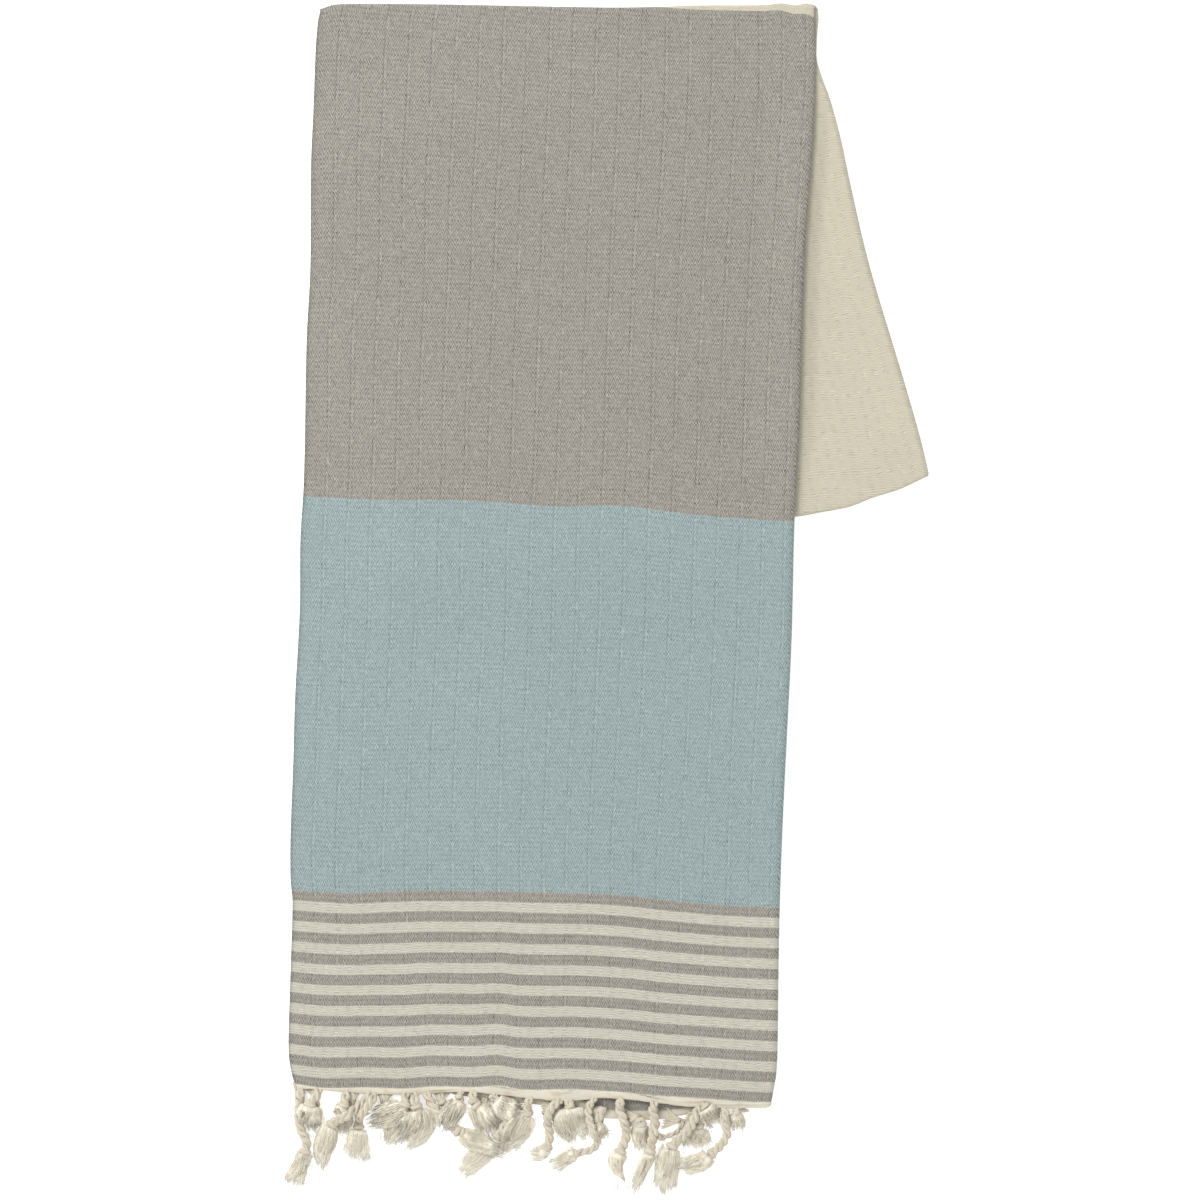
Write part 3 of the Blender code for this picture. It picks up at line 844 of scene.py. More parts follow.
def stretched(vector: Value, scale: tuple[float, float, float]) -> Value:
    """Scale a vector by its axes."""
    inputs = {0: vector, 1: scale}
    node = add_node(vector.tree, "ShaderNodeVectorMath", inputs, operation="MULTIPLY")
    return Value(vector.tree, node.outputs[0])


def toned(colour: Value, tone: Value) -> Value:
    """Multiply a colour by a tone about 1."""
    inputs = {0: colour, "Scale": tone}
    node = add_node(colour.tree, "ShaderNodeVectorMath", inputs, operation="SCALE")
    return Value(colour.tree, node.outputs[0])


def blend(share: Value, first: Value | tuple, second: Value | tuple) -> Value:
    """Mix two colours.

    Args:
        share: 0 for the first, 1 for the second.
        first: The first colour.
        second: The second colour.

    Returns:
        The mixed colour.
    """
    node = add_node(share.tree, "ShaderNodeMix", {0: share}, data_type="RGBA")
    places = [index for index, socket in enumerate(node.inputs) if socket.type == "RGBA"]
    feed(node, dict(zip(places, (first, second))))
    result = next(socket for socket in node.outputs if socket.type == "RGBA")
    return Value(share.tree, result)


def bumped(height: Value, strength: float, depth: float) -> Value:
    """Turn a height into a normal.

    Args:
        height: The height.
        strength: The bump's strength.
        depth: How far a height of 1 stands out.

    Returns:
        The normal.
    """
    inputs = {"Height": height, "Strength": strength, "Distance": depth}
    node = add_node(height.tree, "ShaderNodeBump", inputs)
    return Value(height.tree, node.outputs["Normal"])


def attribute(tree: bpy.types.NodeTree, name: str) -> Value:
    """Read a vector attribute of the piece."""
    node = add_node(tree, "ShaderNodeAttribute", {}, attribute_name=name)
    return Value(tree, node.outputs["Vector"])


def split(vector: Value) -> tuple[Value, ...]:
    """Split a vector into its three parts."""
    node = add_node(vector.tree, "ShaderNodeSeparateXYZ", {0: vector})
    return tuple(Value(vector.tree, socket) for socket in node.outputs)


def new_group(name: str, inputs: dict[str, str],
              outputs: dict[str, str]) -> tuple[bpy.types.NodeTree, dict, bpy.types.Node]:
    """Start a shader node group.

    Args:
        name: Its name.
        inputs: Name to kind.
        outputs: Name to kind.

    Returns:
        The group, its inputs by name, and its output node.
    """
    tree = bpy.data.node_groups.new(name, "ShaderNodeTree")
    for way, sockets in (("INPUT", inputs), ("OUTPUT", outputs)):
        for label, kind in sockets.items():
            tree.interface.new_socket(name=label, in_out=way, socket_type=kind)
    source = tree.nodes.new("NodeGroupInput")
    result = tree.nodes.new("NodeGroupOutput")
    return tree, {label: Value(tree, source.outputs[label]) for label in inputs}, result


def new_material(name: str) -> tuple[bpy.types.Material, bpy.types.NodeTree, bpy.types.Node]:
    """Start a material with its Principled shader.

    Args:
        name: Its name.

    Returns:
        The material, its tree and its shader.
    """
    material = bpy.data.materials.new(name)
    material.use_nodes = True
    tree = material.node_tree
    return material, tree, tree.nodes["Principled BSDF"]


# ---- Finishes


@dataclass(frozen=True)
class WovenCotton:
    """The towel's cloth: a zigzag twill in bands, with raised warp lines."""

    cream: tuple = (0.498, 0.464, 0.365, 1.0)
    stripe_cream: tuple = (0.467, 0.452, 0.379, 1.0)
    taupe: tuple = (0.265, 0.250, 0.218, 1.0)
    blue: tuple = (0.259, 0.323, 0.323, 1.0)
    roughness: float = 0.9
    specular: float = 0.2
    sheen: float = 0.15
    sheen_roughness: float = 0.6
    bump: float = 0.6
    bump_depth: float = 0.12 * MM
    cloud: float = 0.07
    cloud_scale: float = 9.0

    # How strongly the threads show on undyed stripes, as painted light and shade of their ribs,
    # and what the other parts add to it
    contrast: float = 0.15
    flap_contrast: float = -0.01
    dyed_contrast: float = 0.27
    blue_contrast: float = -0.10
    stripe_contrast: float = -0.06

    # How a change of colour strays over the cloth: from thread to thread, slowly, and softly
    tooth: float = 1.2 * MM
    tooth_scale: float = 900.0
    sway: float = 1.4 * MM
    sway_scale: tuple = (25.0, 2.0, 1.0)
    soft: float = 0.35 * MM

    # Twill of the dyed bands: its zigzag, its single floats, and how its threads wander
    zigzag_width: float = 2.7 * MM
    float_step: float = 1.8 * MM
    float_rise: float = 4.4 * MM
    float_chance: float = 1.15
    drift: float = 3.0 * MM
    drift_scale: float = 55.0
    evenness: float = 0.6
    patch_scale: float = 85.0
    patch_range: tuple = (0.32, 0.62)

    # Crosswise ribs of the undyed parts, stronger in columns, whose light and shade is painted
    # into the colour besides the bump
    rib_step: float = 2.2 * MM
    rib_share: float = 0.95
    slub: float = 9.0
    slub_scale: tuple = (170.0, 90.0, 1.0)
    pick_length: float = 3.6 * MM
    pick_chance: float = 1.3
    column_range: tuple = (-0.6, 0.6)
    column_low: float = 0.45
    column_rise: float = 0.75

    # Raised warp lines, painted as a highlight on each line and shade beside it, each with marks
    # in shares of its width
    relief: float = 0.62
    relief_step: float = 21.0 * MM
    relief_width: float = 5.0 * MM
    relief_drift: float = 4.0 * MM
    relief_scale: float = 7.0
    highlight_marks: tuple = (0.30, 0.45, 0.62, 0.80)
    near_shade_marks: tuple = (0.0, 0.12, 0.22, 0.36)
    shade_marks: tuple = (0.70, 0.82, 0.90, 1.0)
    shade_share: float = 0.6
    dot_step: float = 2.6 * MM
    dot_range: tuple = (-0.2, 0.5)
    dash_step: float = 4.42 * MM
    dash_middle: float = 0.75

    # Painted shade along both selvedges and along the lengthwise fold, where the cloth's edges
    # turn away from the light: reach, and how dark
    painted_selvedge_shade: tuple = ((0.6 * MM, 2.4 * MM), 0.26)
    painted_selvedge_falloff: tuple = ((2.0 * MM, 7.0 * MM), 0.06)
    painted_crease_shade: tuple = ((2.5 * MM, 5.5 * MM), 0.12)

    def weave_group(self) -> bpy.types.NodeTree:
        """Build the weave: its light and dark threads, partly painted light and shade of ribs and
        raised lines, and its height.

        Returns:
            The node group.
        """
        tree, given, result = new_group(
            "zigzag weave",
            {"Flat": "NodeSocketVector", "Contrast": "NodeSocketFloat", "Ribs": "NodeSocketFloat"},
            {"Tone": "NodeSocketFloat", "Height": "NodeSocketFloat"},
        )
        flat = given["Flat"]
        across, along, _ = split(flat)
        straight = across + noise(flat, self.relief_scale, 1.0) * self.relief_drift
        drift = noise(flat, self.drift_scale, 2.0) * self.drift
        across, along = across + drift, along + drift
        twill, rib = self.threads(flat, across, along)
        # Painted highlight and shade of the raised warp lines go into the tone
        twill = twill + self.raised(straight, along) * self.relief
        thread = twill + given["Ribs"] * (rib - twill)
        # On undyed cloth the tone is painted light and shade of the ribs; on dyed bands it is pale
        # warp against dyed weft
        feed(result, {"Tone": 1.0 + thread * given["Contrast"], "Height": thread})
        return tree

    def threads(self, flat: Value, across: Value, along: Value) -> tuple[Value, Value]:
        """Give the floats of the dyed bands and the crosswise ribs of the undyed parts.

        Args:
            flat: Place on the flat cloth.
            across: Place across it, with the threads' drift.
            along: Place along it, with the threads' drift.

        Returns:
            The floats and the ribs, each about 1 on the thread and -1 beside it.
        """
        zigzag = across.calc("PINGPONG", self.zigzag_width) / self.float_step
        stroke = ((along / self.float_rise + zigzag) * math.tau).calc("SINE")
        floats = scatter(across, along, (self.float_step / 2, self.float_rise / 3))
        patchy = noise(flat, self.patch_scale, 1.0).step(*self.patch_range)
        strength = self.evenness + patchy * (1.0 - self.evenness)
        slub = noise(stretched(flat, self.slub_scale), 1.0, 1.0)
        turn = along / self.rib_step * math.tau + slub * self.slub
        picks = scatter(across, along, (self.pick_length, self.rib_step / 2))
        column = (across * (2 * math.tau / self.relief_step)).calc("SINE")
        column = self.column_low + column.step(*self.column_range) * self.column_rise
        twill = stroke * strength + floats * self.float_chance
        return twill, (turn.calc("SINE") + picks * self.pick_chance) * column

    def raised(self, straight: Value, along: Value) -> Value:
        """Give the raised warp lines as painted light and shade: lit dots beside shaded dashes.

        Args:
            straight: Place across, with a slow drift.
            along: Place along.

        Returns:
            Above 0 on the dots and below 0 on the dashes.
        """
        line = (straight / self.relief_step).calc("FRACT")
        line = line / (self.relief_width / self.relief_step)
        dots = scatter(straight, along, (self.relief_step, self.dot_step)).step(*self.dot_range)
        dashes = self.dash_middle + scatter(straight, along, (self.relief_step, self.dash_step))
        dark = line.band(self.near_shade_marks) + line.band(self.shade_marks) * self.shade_share
        return line.band(self.highlight_marks) * dots - dark * dashes

    def painted_edge_and_crease_shade(self, across: Value, width: float) -> Value:
        """Paint shade along the selvedges and the lengthwise fold.

        Args:
            across: Flat place across the cloth.
            width: The cloth's whole width.

        Returns:
            The tone there.
        """
        from_crease = (across - width / 2).calc("ABSOLUTE")
        from_edge = width / 2 - from_crease
        tone = 1.0
        for away, (reach, dark) in ((from_edge, self.painted_selvedge_shade), (from_edge, self.painted_selvedge_falloff),
                                    (from_crease, self.painted_crease_shade)):
            tone = tone - (1.0 - away.step(*reach)) * dark
        return tone

    def build(self, pattern: Pattern, width: float) -> bpy.types.Material:
        """Build the cloth's material.

        Args:
            pattern: Where the bands lie along the cloth.
            width: The cloth's whole width.

        Returns:
            The material.
        """
        material, tree, shader = new_material("woven_cotton")
        flat = Value(tree, tree.nodes.new("ShaderNodeUVMap").outputs["UV"])
        across, along, _ = split(flat)
        edge = along + (noise(flat, self.tooth_scale, 1.0) - 0.5) * self.tooth
        edge = edge + (noise(stretched(flat, self.sway_scale), 1.0) - 0.5) * self.sway
        past_hem, past_stripes, past_blue, past_taupe = (
            edge.step(mark - self.soft, mark + self.soft)
            for mark in (pattern.hem, pattern.stripes_end, pattern.blue_end, pattern.taupe_end)
        )
        phase = (edge - (pattern.hem - pattern.stripe_lead)) / pattern.stripe_step
        phase = phase.calc("FRACT") * pattern.stripe_step
        end = pattern.stripe_width
        stripe = phase.band((0.0, 2 * self.soft, end - self.soft, end + self.soft)) * past_hem
        colour = blend(stripe, self.stripe_cream, self.taupe)
        colour = blend(past_stripes, colour, self.blue)
        colour = blend(past_blue, colour, self.taupe)
        colour = blend(past_taupe, colour, self.cream)
        dyed = stripe.calc("MAXIMUM", past_stripes) * (1.0 - past_taupe)
        contrast = self.contrast
        for share, change in ((past_taupe, self.flap_contrast), (dyed, self.dyed_contrast),
                              (past_stripes - past_blue, self.blue_contrast),
                              (stripe, self.stripe_contrast)):
            contrast = share * change + contrast
        threads = {"Flat": flat, "Contrast": contrast, "Ribs": 1.0 - dyed * self.rib_share}
        weave = add_node(tree, "ShaderNodeGroup", threads, node_tree=self.weave_group())
        cloud = (noise(flat, self.cloud_scale, 3.0) - 0.5) * self.cloud
        # The tone carries painted shade along the selvedges and the lengthwise fold
        tone = Value(tree, weave.outputs["Tone"]) * (1.0 + cloud) * self.painted_edge_and_crease_shade(across, width)
        height = Value(tree, weave.outputs["Height"])
        feed(shader, {
            "Base Color": toned(colour, tone),
            "Normal": bumped(height, self.bump, self.bump_depth),
            "Roughness": self.roughness,
            "Specular IOR Level": self.specular,
            "Sheen Weight": self.sheen,
            "Sheen Roughness": self.sheen_roughness,
        })
        return material


@dataclass(frozen=True)
class FringeYarn:
    """Undyed cotton yarn: painted golden shade in the grooves of the twist and the knots, paler in
    the brushes.
    """

    golden: tuple = (0.46, 0.355, 0.225, 1.0)
    cord: tuple = (0.600, 0.560, 0.462, 1.0)
    pale: tuple = (0.840, 0.795, 0.672, 1.0)
    tip: tuple = (0.800, 0.765, 0.660, 1.0)
    loose: tuple = (0.36, 0.35, 0.34, 1.0)
    roughness: float = 0.85
    specular: float = 0.25
    sheen: float = 0.2
    bump: float = 0.45
    bump_depth: float = 0.22 * MM
    fibre_scale: tuple = (1.7, 1.7, 90.0)
    tuft_scale: tuple = (0.16, 0.16, 70.0)
    tuft_range: tuple = (0.5, 0.72)

    # Where the colours change, in shares of the tassel's length
    pale_range: tuple = (0.5, 0.75)
    tip_range: tuple = (0.9, 1.02)
    loose_range: tuple = (1.1, 1.3)

    # Grooves between the yarns of a ply, with painted golden shade in them
    ply_yarns: float = 5.0
    ply_pitch: float = 25.0 * MM
    groove_range: tuple = (0.2, 1.0)
    groove_depth: float = 1.2
    groove_painted_shade: float = 0.5
    patch_tint: float = 0.42

    # Tone: its least, and what the strand's chance and its fibres change
    least_tone: float = 0.94
    chance_tone: float = 0.12
    fibre_tone: float = 0.26

    def build(self) -> bpy.types.Material:
        """Build the yarn's material, which reads each strand's own run and tone.

        Returns:
            The material.
        """
        material, tree, shader = new_material("fringe_yarn")
        strand = attribute(tree, "strand")
        aside, up, run = split(strand)
        chance, share, twisted = split(attribute(tree, "tone"))
        fibre = noise(stretched(strand, self.fibre_scale), 1.0, 3.0, 0.6)
        tuft = noise(stretched(strand, self.tuft_scale), 1.0, 1.0)
        turn = up.calc("ARCTAN2", aside) * self.ply_yarns + run * (math.tau / self.ply_pitch)
        groove = turn.calc("COSINE").step(*self.groove_range) * twisted
        colour = blend(share.step(*self.pale_range), self.cord, self.pale)
        colour = blend(tuft.step(*self.tuft_range) * self.patch_tint, colour, self.golden)
        colour = blend(share.step(*self.tip_range), colour, self.tip)
        # Painted shade: golden colour in the ply's grooves
        colour = blend(groove * self.groove_painted_shade, colour, self.golden)
        colour = blend(share.step(*self.loose_range), colour, self.loose)
        tone = self.least_tone + chance * self.chance_tone + (fibre - 0.5) * self.fibre_tone
        height = fibre - groove * self.groove_depth
        feed(shader, {
            "Base Color": toned(colour, tone),
            "Normal": bumped(height, self.bump, self.bump_depth),
            "Roughness": self.roughness,
            "Specular IOR Level": self.specular,
            "Sheen Weight": self.sheen,
        })
        return material


# ---- Cloth


@dataclass
class TowelCloth:
    """The whole woven length, cut flat, folded into place and given its thickness."""

    folds: Folds
    upper_column: float = 6.0 * MM
    lower_column: float = 11.0 * MM
    lower_fine: float = 4.6 * MM
    fine_from: float = 0.72
    fold_columns: int = 9
    side_clear: float = 12.0 * MM
    side_columns: int = 4
    turn_rows: int = 11
    hem_strip: float = 4.4 * MM
    hem_row: float = 0.9 * MM
    hem_rows_end: float = 10.7 * MM
    stripe_row: float = 2.4 * MM
    band_row: float = 6.4 * MM
    flap_row: float = 8.0 * MM
    under_row: float = 13.0 * MM
    sharp_from: float = math.radians(50.0)

    def stations(self) -> tuple[Array, Array, Array]:
        """Give the columns of the doubled cloth, from one selvedge to the other.

        Returns:
            Each column's share across, angle round the fold, and flat distance across.
        """
        width = self.folds.sheet.half_width
        near = np.linspace(0.0, self.side_clear / width, self.side_columns + 1)[:-1]
        upper = self.spread(self.upper_column, self.upper_column, near)
        fine = min(self.lower_column, self.lower_fine)
        lower = self.spread(self.lower_column, fine, near)
        turns = np.linspace(0.0, math.pi, self.fold_columns + 2)[1:-1]
        across = np.concatenate((upper, np.ones(len(turns)), lower[::-1]))
        turn = np.concatenate((np.zeros(len(upper)), turns, np.full(len(lower), math.pi)))
        arc = self.folds.sheet.outer * turn
        flat = np.where(turn < math.pi, across * width + arc, 0.0)
        back = 2 * width + self.folds.sheet.outer * math.pi - across * width
        return across, turn, np.where(turn < math.pi, flat, back)

    def spread(self, step: float, fine: float, near: Array) -> Array:
        """Space one layer's columns: closer together at both sides.

        Args:
            step: Distance between columns as far as where they come closer.
            fine: Distance between them from there to the lengthwise fold.
            near: Shares of the closer columns at the selvedge.

        Returns:
            Shares across the layer.
        """
        width = self.folds.sheet.half_width
        clear = self.side_clear / width
        wide_count = round((self.fine_from - clear) * width / step)
        close_count = round((1.0 - clear - self.fine_from) * width / fine)
        wide = np.linspace(clear, self.fine_from, wide_count + 1)
        close = np.linspace(self.fine_from, 1.0 - clear, close_count + 1)
        return np.concatenate((near, wide[:-1], close, 1.0 - near[::-1]))

    def rows(self) -> list[tuple[Part, float]]:
        """List the rows of the cloth from the near hem strip to the far one.

        Returns:
            Each row's part, and its share of it or its angle round a fold.
        """
        pattern, folds = self.folds.pattern, self.folds
        start = self.hem_strip / pattern.stripes_end
        counts = {
            Part.STRIPES: pattern.stripes_end / self.stripe_row,
            Part.BLUE: (pattern.blue_end - pattern.stripes_end) / self.band_row,
            Part.TAUPE: (pattern.taupe_end - pattern.blue_end) / self.band_row,
        }
        edge = np.arange(start, self.hem_rows_end / pattern.stripes_end,
                         self.hem_row / pattern.stripes_end)
        rows: list[tuple[Part, float]] = [(Part.STRIPES, share) for share in edge]
        for part, count in counts.items():
            first = self.hem_rows_end / pattern.stripes_end if part is Part.STRIPES else 0.0
            rows += [(part, share) for share in np.linspace(first, 1.0, round(count) + 1)[:-1]]
        turns = np.linspace(0.0, math.pi, self.turn_rows + 1)[:-1]
        rows += [(Part.TOP_FOLD, turn) for turn in turns]
        count = round(float(folds.flap_run(0.5)) / self.flap_row)
        rows += [(Part.FLAP, share) for share in np.linspace(0.0, 1.0, count + 1)[:-1]]
        rows += [(Part.BOTTOM_FOLD, turn) for turn in turns]
        last = 1.0 - folds.far_share(self.hem_strip)
        count = round(float(folds.far_edge(0.5) - folds.flap_bottom(0.5)) / self.under_row)
        return rows + [(Part.UNDER, share) for share in np.linspace(0.0, last, count + 1)]

    def build(self) -> Piece:
        """Fold the cloth into place.

        Returns:
            The cloth.
        """
        across, turn, flat_across = self.stations()
        rows = self.rows()
        piece, column, row = flat_grid("towel_cloth", len(across), len(rows))
        laid = np.stack([self.folds.row(part, place, across, turn) for part, place in rows])
        along = np.stack([self.folds.along(part, place, across) for part, place in rows])
        write_points(piece, self.folds.settle(laid[row, column]))
        keep_uv(piece, rows_of(flat_across[column], along[row, column]))
        make_active(piece)
        wall = piece.modifiers.new("thickness", "SOLIDIFY")
        wall.thickness = self.folds.sheet.woven
        wall.offset = 0.0
        wall.use_even_offset = True
        bpy.ops.object.modifier_apply(modifier=wall.name)
        bpy.ops.object.shade_smooth_by_angle(angle=self.sharp_from)
        log.info("towel_cloth: %d columns, %d rows", len(across), len(rows))
        return piece


@dataclass
class RolledHem:
    """A narrow rolled hem that the tassels grow from, on both layers and round the fold."""

    folds: Folds
    name: str
    far: bool = False
    middle: float = 2.2 * MM
    half_width: float = 2.5 * MM
    half_thick: float = 0.95 * MM
    around: int = 10
    column: float = 3.0 * MM
    uneven: float = 0.35 * MM
    lump_turns: Span = (210.0, 463.0)
    tone_turns: float = 90.0
    tone_share: float = 0.35
    merge_within: float = 1e-6
    sharp_from: float = math.radians(60.0)

    def build(self) -> Piece:
        """Sweep the roll along the hem and close its two ends.

        Returns:
            The hem.
        """
        cloth = TowelCloth(self.folds, upper_column=self.column, lower_column=self.column)
        across, turn, flat = cloth.stations()
        piece, column, row = flat_grid(self.name, len(across), self.around + 1)
        angles = math.tau * np.arange(self.around + 1) / self.around
        laid = np.stack([self.ring(angle, across, turn, flat) for angle in angles])
        laid[..., 2] = np.maximum(laid[..., 2], 0.0)
        write_points(piece, self.folds.settle(laid[row, column]))
        run = flat[column]
        thick = self.half_width / MM
        strand = rows_of(thick * np.cos(angles[row]), thick * np.sin(angles[row]), run)
        keep_values(piece, "strand", strand)
        chance = 0.5 + 0.3 * np.sin(self.tone_turns * run)
        keep_values(piece, "tone", rows_of(chance, self.tone_share, 0.0))
        make_active(piece)
        bpy.ops.object.mode_set(mode="EDIT")
        bpy.ops.mesh.select_all(action="SELECT")
        bpy.ops.mesh.remove_doubles(threshold=self.merge_within)
        bpy.ops.mesh.fill_holes(sides=0)
        bpy.ops.mesh.normals_make_consistent(inside=False)
        bpy.ops.object.mode_set(mode="OBJECT")
        bpy.ops.object.shade_smooth_by_angle(angle=self.sharp_from)
        return piece

    def ring(self, angle: float, across: Array, turn: Array, flat: Array) -> Array:
        """Lay one line of the roll along the hem.

        Args:
            angle: Where it lies round the roll.
            across: Shares across the doubled cloth.
            turn: Angles round the lengthwise fold.
            flat: Flat distances across.

        Returns:
            Rows of x, y, z.
        """
        slow, quick = self.lump_turns
        lumps = 0.6 * np.sin(slow * flat + 1.3) + 0.4 * np.sin(quick * flat)
        half = self.half_width + self.uneven * lumps
        run = self.middle - half * math.cos(angle)
        skin = (self.half_thick + 0.4 * self.uneven * lumps) * math.sin(angle)
        if not self.far:
            share = run / self.folds.pattern.stripes_end
            return self.folds.panel_row(Part.STRIPES, share, across, turn, skin)
        share = 1.0 - run * self.folds.far_share(1.0)
        x, y = self.folds.under_place(across, share)
        pitch = self.folds.sheet.pitch
        reach = (pitch / 2 + skin) * np.sin(turn)
        rise = (pitch / 2 + skin) * np.cos(turn)
        z = self.folds.sheet.thick / 2 + pitch / 2 + rise
        return rows_of(x + reach, y, z)


# ---- Fringe


class Bed:
    """What the next strand comes to lie on: the top of all laid so far, cell by cell."""

    def __init__(self, low: Span, high: Span, cell: float = 1.2 * MM) -> None:
        """Start with a bare surface.

        Args:
            low: Lowest x and y that it covers.
            high: Highest x and y.
            cell: Size of its cells.
        """
        self.low, self.cell = np.array(low), cell
        size = np.ceil((np.array(high) - self.low) / cell).astype(int) + 1
        self.tops = np.zeros(tuple(size))

    def cells(self, x: Array, y: Array) -> tuple[Array, Array]:
        """Find the cells that places fall in."""
        i = np.rint((x - self.low[0]) / self.cell).astype(int)
        j = np.rint((y - self.low[1]) / self.cell).astype(int)
        return np.clip(i, 0, self.tops.shape[0] - 1), np.clip(j, 0, self.tops.shape[1] - 1)

    def under(self, x: Array, y: Array) -> Array:
        """Read the height under places."""
        return self.tops[self.cells(x, y)]

    def put(self, x: Array, y: Array, top: Array) -> None:
        """Add something to the pile, by its places on the plan and its top there."""
        i, j = self.cells(x, y)
        np.maximum.at(self.tops, (i.ravel(), j.ravel()), top.ravel())


def windows(values: Array, reach: int) -> list[Array]:
    """Shift values along their last axis by each step within reach.

    Args:
        values: What is shifted.
        reach: Steps to either side.

    Returns:
        The shifted values, their ends repeated.
    """
    pads = [(0, 0)] * (values.ndim - 1) + [(reach, reach)]
    wide = np.pad(values, pads, mode="edge")
    size = values.shape[-1]
    return [wide[..., k:k + size] for k in range(2 * reach + 1)]


def slide_mean(values: Array, reach: int) -> Array:
    """Smooth values along their last axis over the given steps to either side."""
    return np.mean(windows(values, reach), axis=0)


def slide_max(values: Array, reach: int) -> Array:
    """Spread the highest values along their last axis by the given steps to either side."""
    return np.max(windows(values, reach), axis=0)


def select_long_edges(piece: Piece) -> None:
    """Select a straight strand's lengthwise edges alone.

    Args:
        piece: The strand.
    """
    bpy.context.tool_settings.mesh_select_mode = (False, True, False)
    mesh = piece.data
    mesh.vertices.foreach_set("select", np.zeros(len(mesh.vertices), bool))
    mesh.polygons.foreach_set("select", np.zeros(len(mesh.polygons), bool))
    ends = np.empty(2 * len(mesh.edges), int)
    mesh.edges.foreach_get("vertices", ends)
    heights = read_points(piece)[ends.reshape(-1, 2), 2]
    mesh.edges.foreach_set("select", np.abs(heights[:, 0] - heights[:, 1]) > 0.5)


def finish_soft(piece: Piece, places: Array, strand: Array, tone: Array) -> Piece:
    """Put a soft piece's points in place, turn its faces outwards and shade it smooth.

    Args:
        piece: The piece.
        places: Rows of x, y, z, which are kept from going below the surface.
        strand: Rows of place across in mm, height in mm, and run.
        tone: Rows of chance tone, share of the tassel, and twist.

    Returns:
        The piece.
    """
    places[:, 2] = np.maximum(places[:, 2], 0.0)
    write_points(piece, places)
    keep_values(piece, "strand", strand)
    keep_values(piece, "tone", tone)
    make_active(piece)
    bpy.ops.object.mode_set(mode="EDIT")
    bpy.ops.mesh.select_all(action="SELECT")
    bpy.ops.mesh.normals_make_consistent(inside=False)
    bpy.ops.object.mode_set(mode="OBJECT")
    bpy.ops.object.shade_smooth()
    return piece


def crown(side: Array) -> Array:
    """Give the share of a soft body's height that its upper side has at a place across it."""
    return 0.5 + 0.5 * np.maximum(1.0 - np.abs(side) ** 2.86, 0.0) ** 0.35


UPRIGHT = np.array((0.0, 0.0, 1.0))
STRAND_APART = 10.0


@dataclass
class StrandSet:
    """A row of equal straight strands that are then swept along their own ways."""

    piece: Piece
    copy: Array
    ring: Array
    side: Array
    rings: int

    @staticmethod
    def straight(name: str, sides: int, rings: int, count: int) -> "StrandSet":
        """Make one straight strand and array it.

        Args:
            name: The object's name.
            sides: Faces round a strand.
            rings: Stretches along a strand.
            count: How many strands.

        Returns:
            The set, still straight.
        """
        deselect()
        bpy.ops.mesh.primitive_cylinder_add(vertices=sides, radius=1.0, depth=1.0)
        piece = bpy.context.object
        piece.name = name
        select_long_edges(piece)
        bpy.ops.object.mode_set(mode="EDIT")
        bpy.ops.mesh.subdivide(number_cuts=rings - 1)
        bpy.ops.object.mode_set(mode="OBJECT")
        if count > 1:
            array = piece.modifiers.new("row", "ARRAY")
            array.count = count
            array.use_relative_offset = False
            array.use_constant_offset = True
            array.constant_offset_displace = (STRAND_APART, 0.0, 0.0)
            bpy.ops.object.modifier_apply(modifier=array.name)
        places = read_points(piece)
        copy = np.rint(places[:, 0] / STRAND_APART).astype(int)
        side = rows_of(places[:, 0] - STRAND_APART * copy, places[:, 1])
        ring = np.rint((places[:, 2] + 0.5) * rings).astype(int)
        return StrandSet(piece, copy, ring, side, rings)

    def sweep(self, centres: Array, radii: Array | float, tone: Array,
              twisted: float = 0.0, upright: Array = UPRIGHT) -> Piece:
        """Sweep the strands along their ways.

        Args:
            centres: For each strand and ring, x, y, z.
            radii: The radius, or one for each strand and ring.
            tone: For each strand, its chance tone and its shares of the tassel at both ends.
            twisted: 1 for a ply of many twisted yarns, 0 for a single yarn.
            upright: A direction that no strand runs along.

        Returns:
            The finished object.
        """
        radii = np.broadcast_to(radii, centres.shape[:2])
        ahead = np.gradient(centres, axis=1)
        ahead /= np.maximum(np.linalg.norm(ahead, axis=2, keepdims=True), 1e-9)
        across = np.cross(ahead, np.broadcast_to(upright, ahead.shape))
        across /= np.maximum(np.linalg.norm(across, axis=2, keepdims=True), 1e-9)
        over = np.cross(across, ahead)
        at = (self.copy, self.ring)
        radius = radii[at][:, None]
        section = self.side[:, :1] * across[at] + self.side[:, 1:] * over[at]
        places = centres[at] + radius * section
        steps = np.linalg.norm(np.diff(centres, axis=1), axis=2)
        run = np.concatenate((np.zeros((len(centres), 1)), np.cumsum(steps, axis=1)), axis=1)
        strand = np.column_stack((self.side * radius / MM, run[at] + 0.37 * self.copy))
        share = mix(tone[self.copy, 1], tone[self.copy, 2], self.ring / self.rings)
        return finish_soft(self.piece, places, strand, rows_of(tone[self.copy, 0], share, twisted))


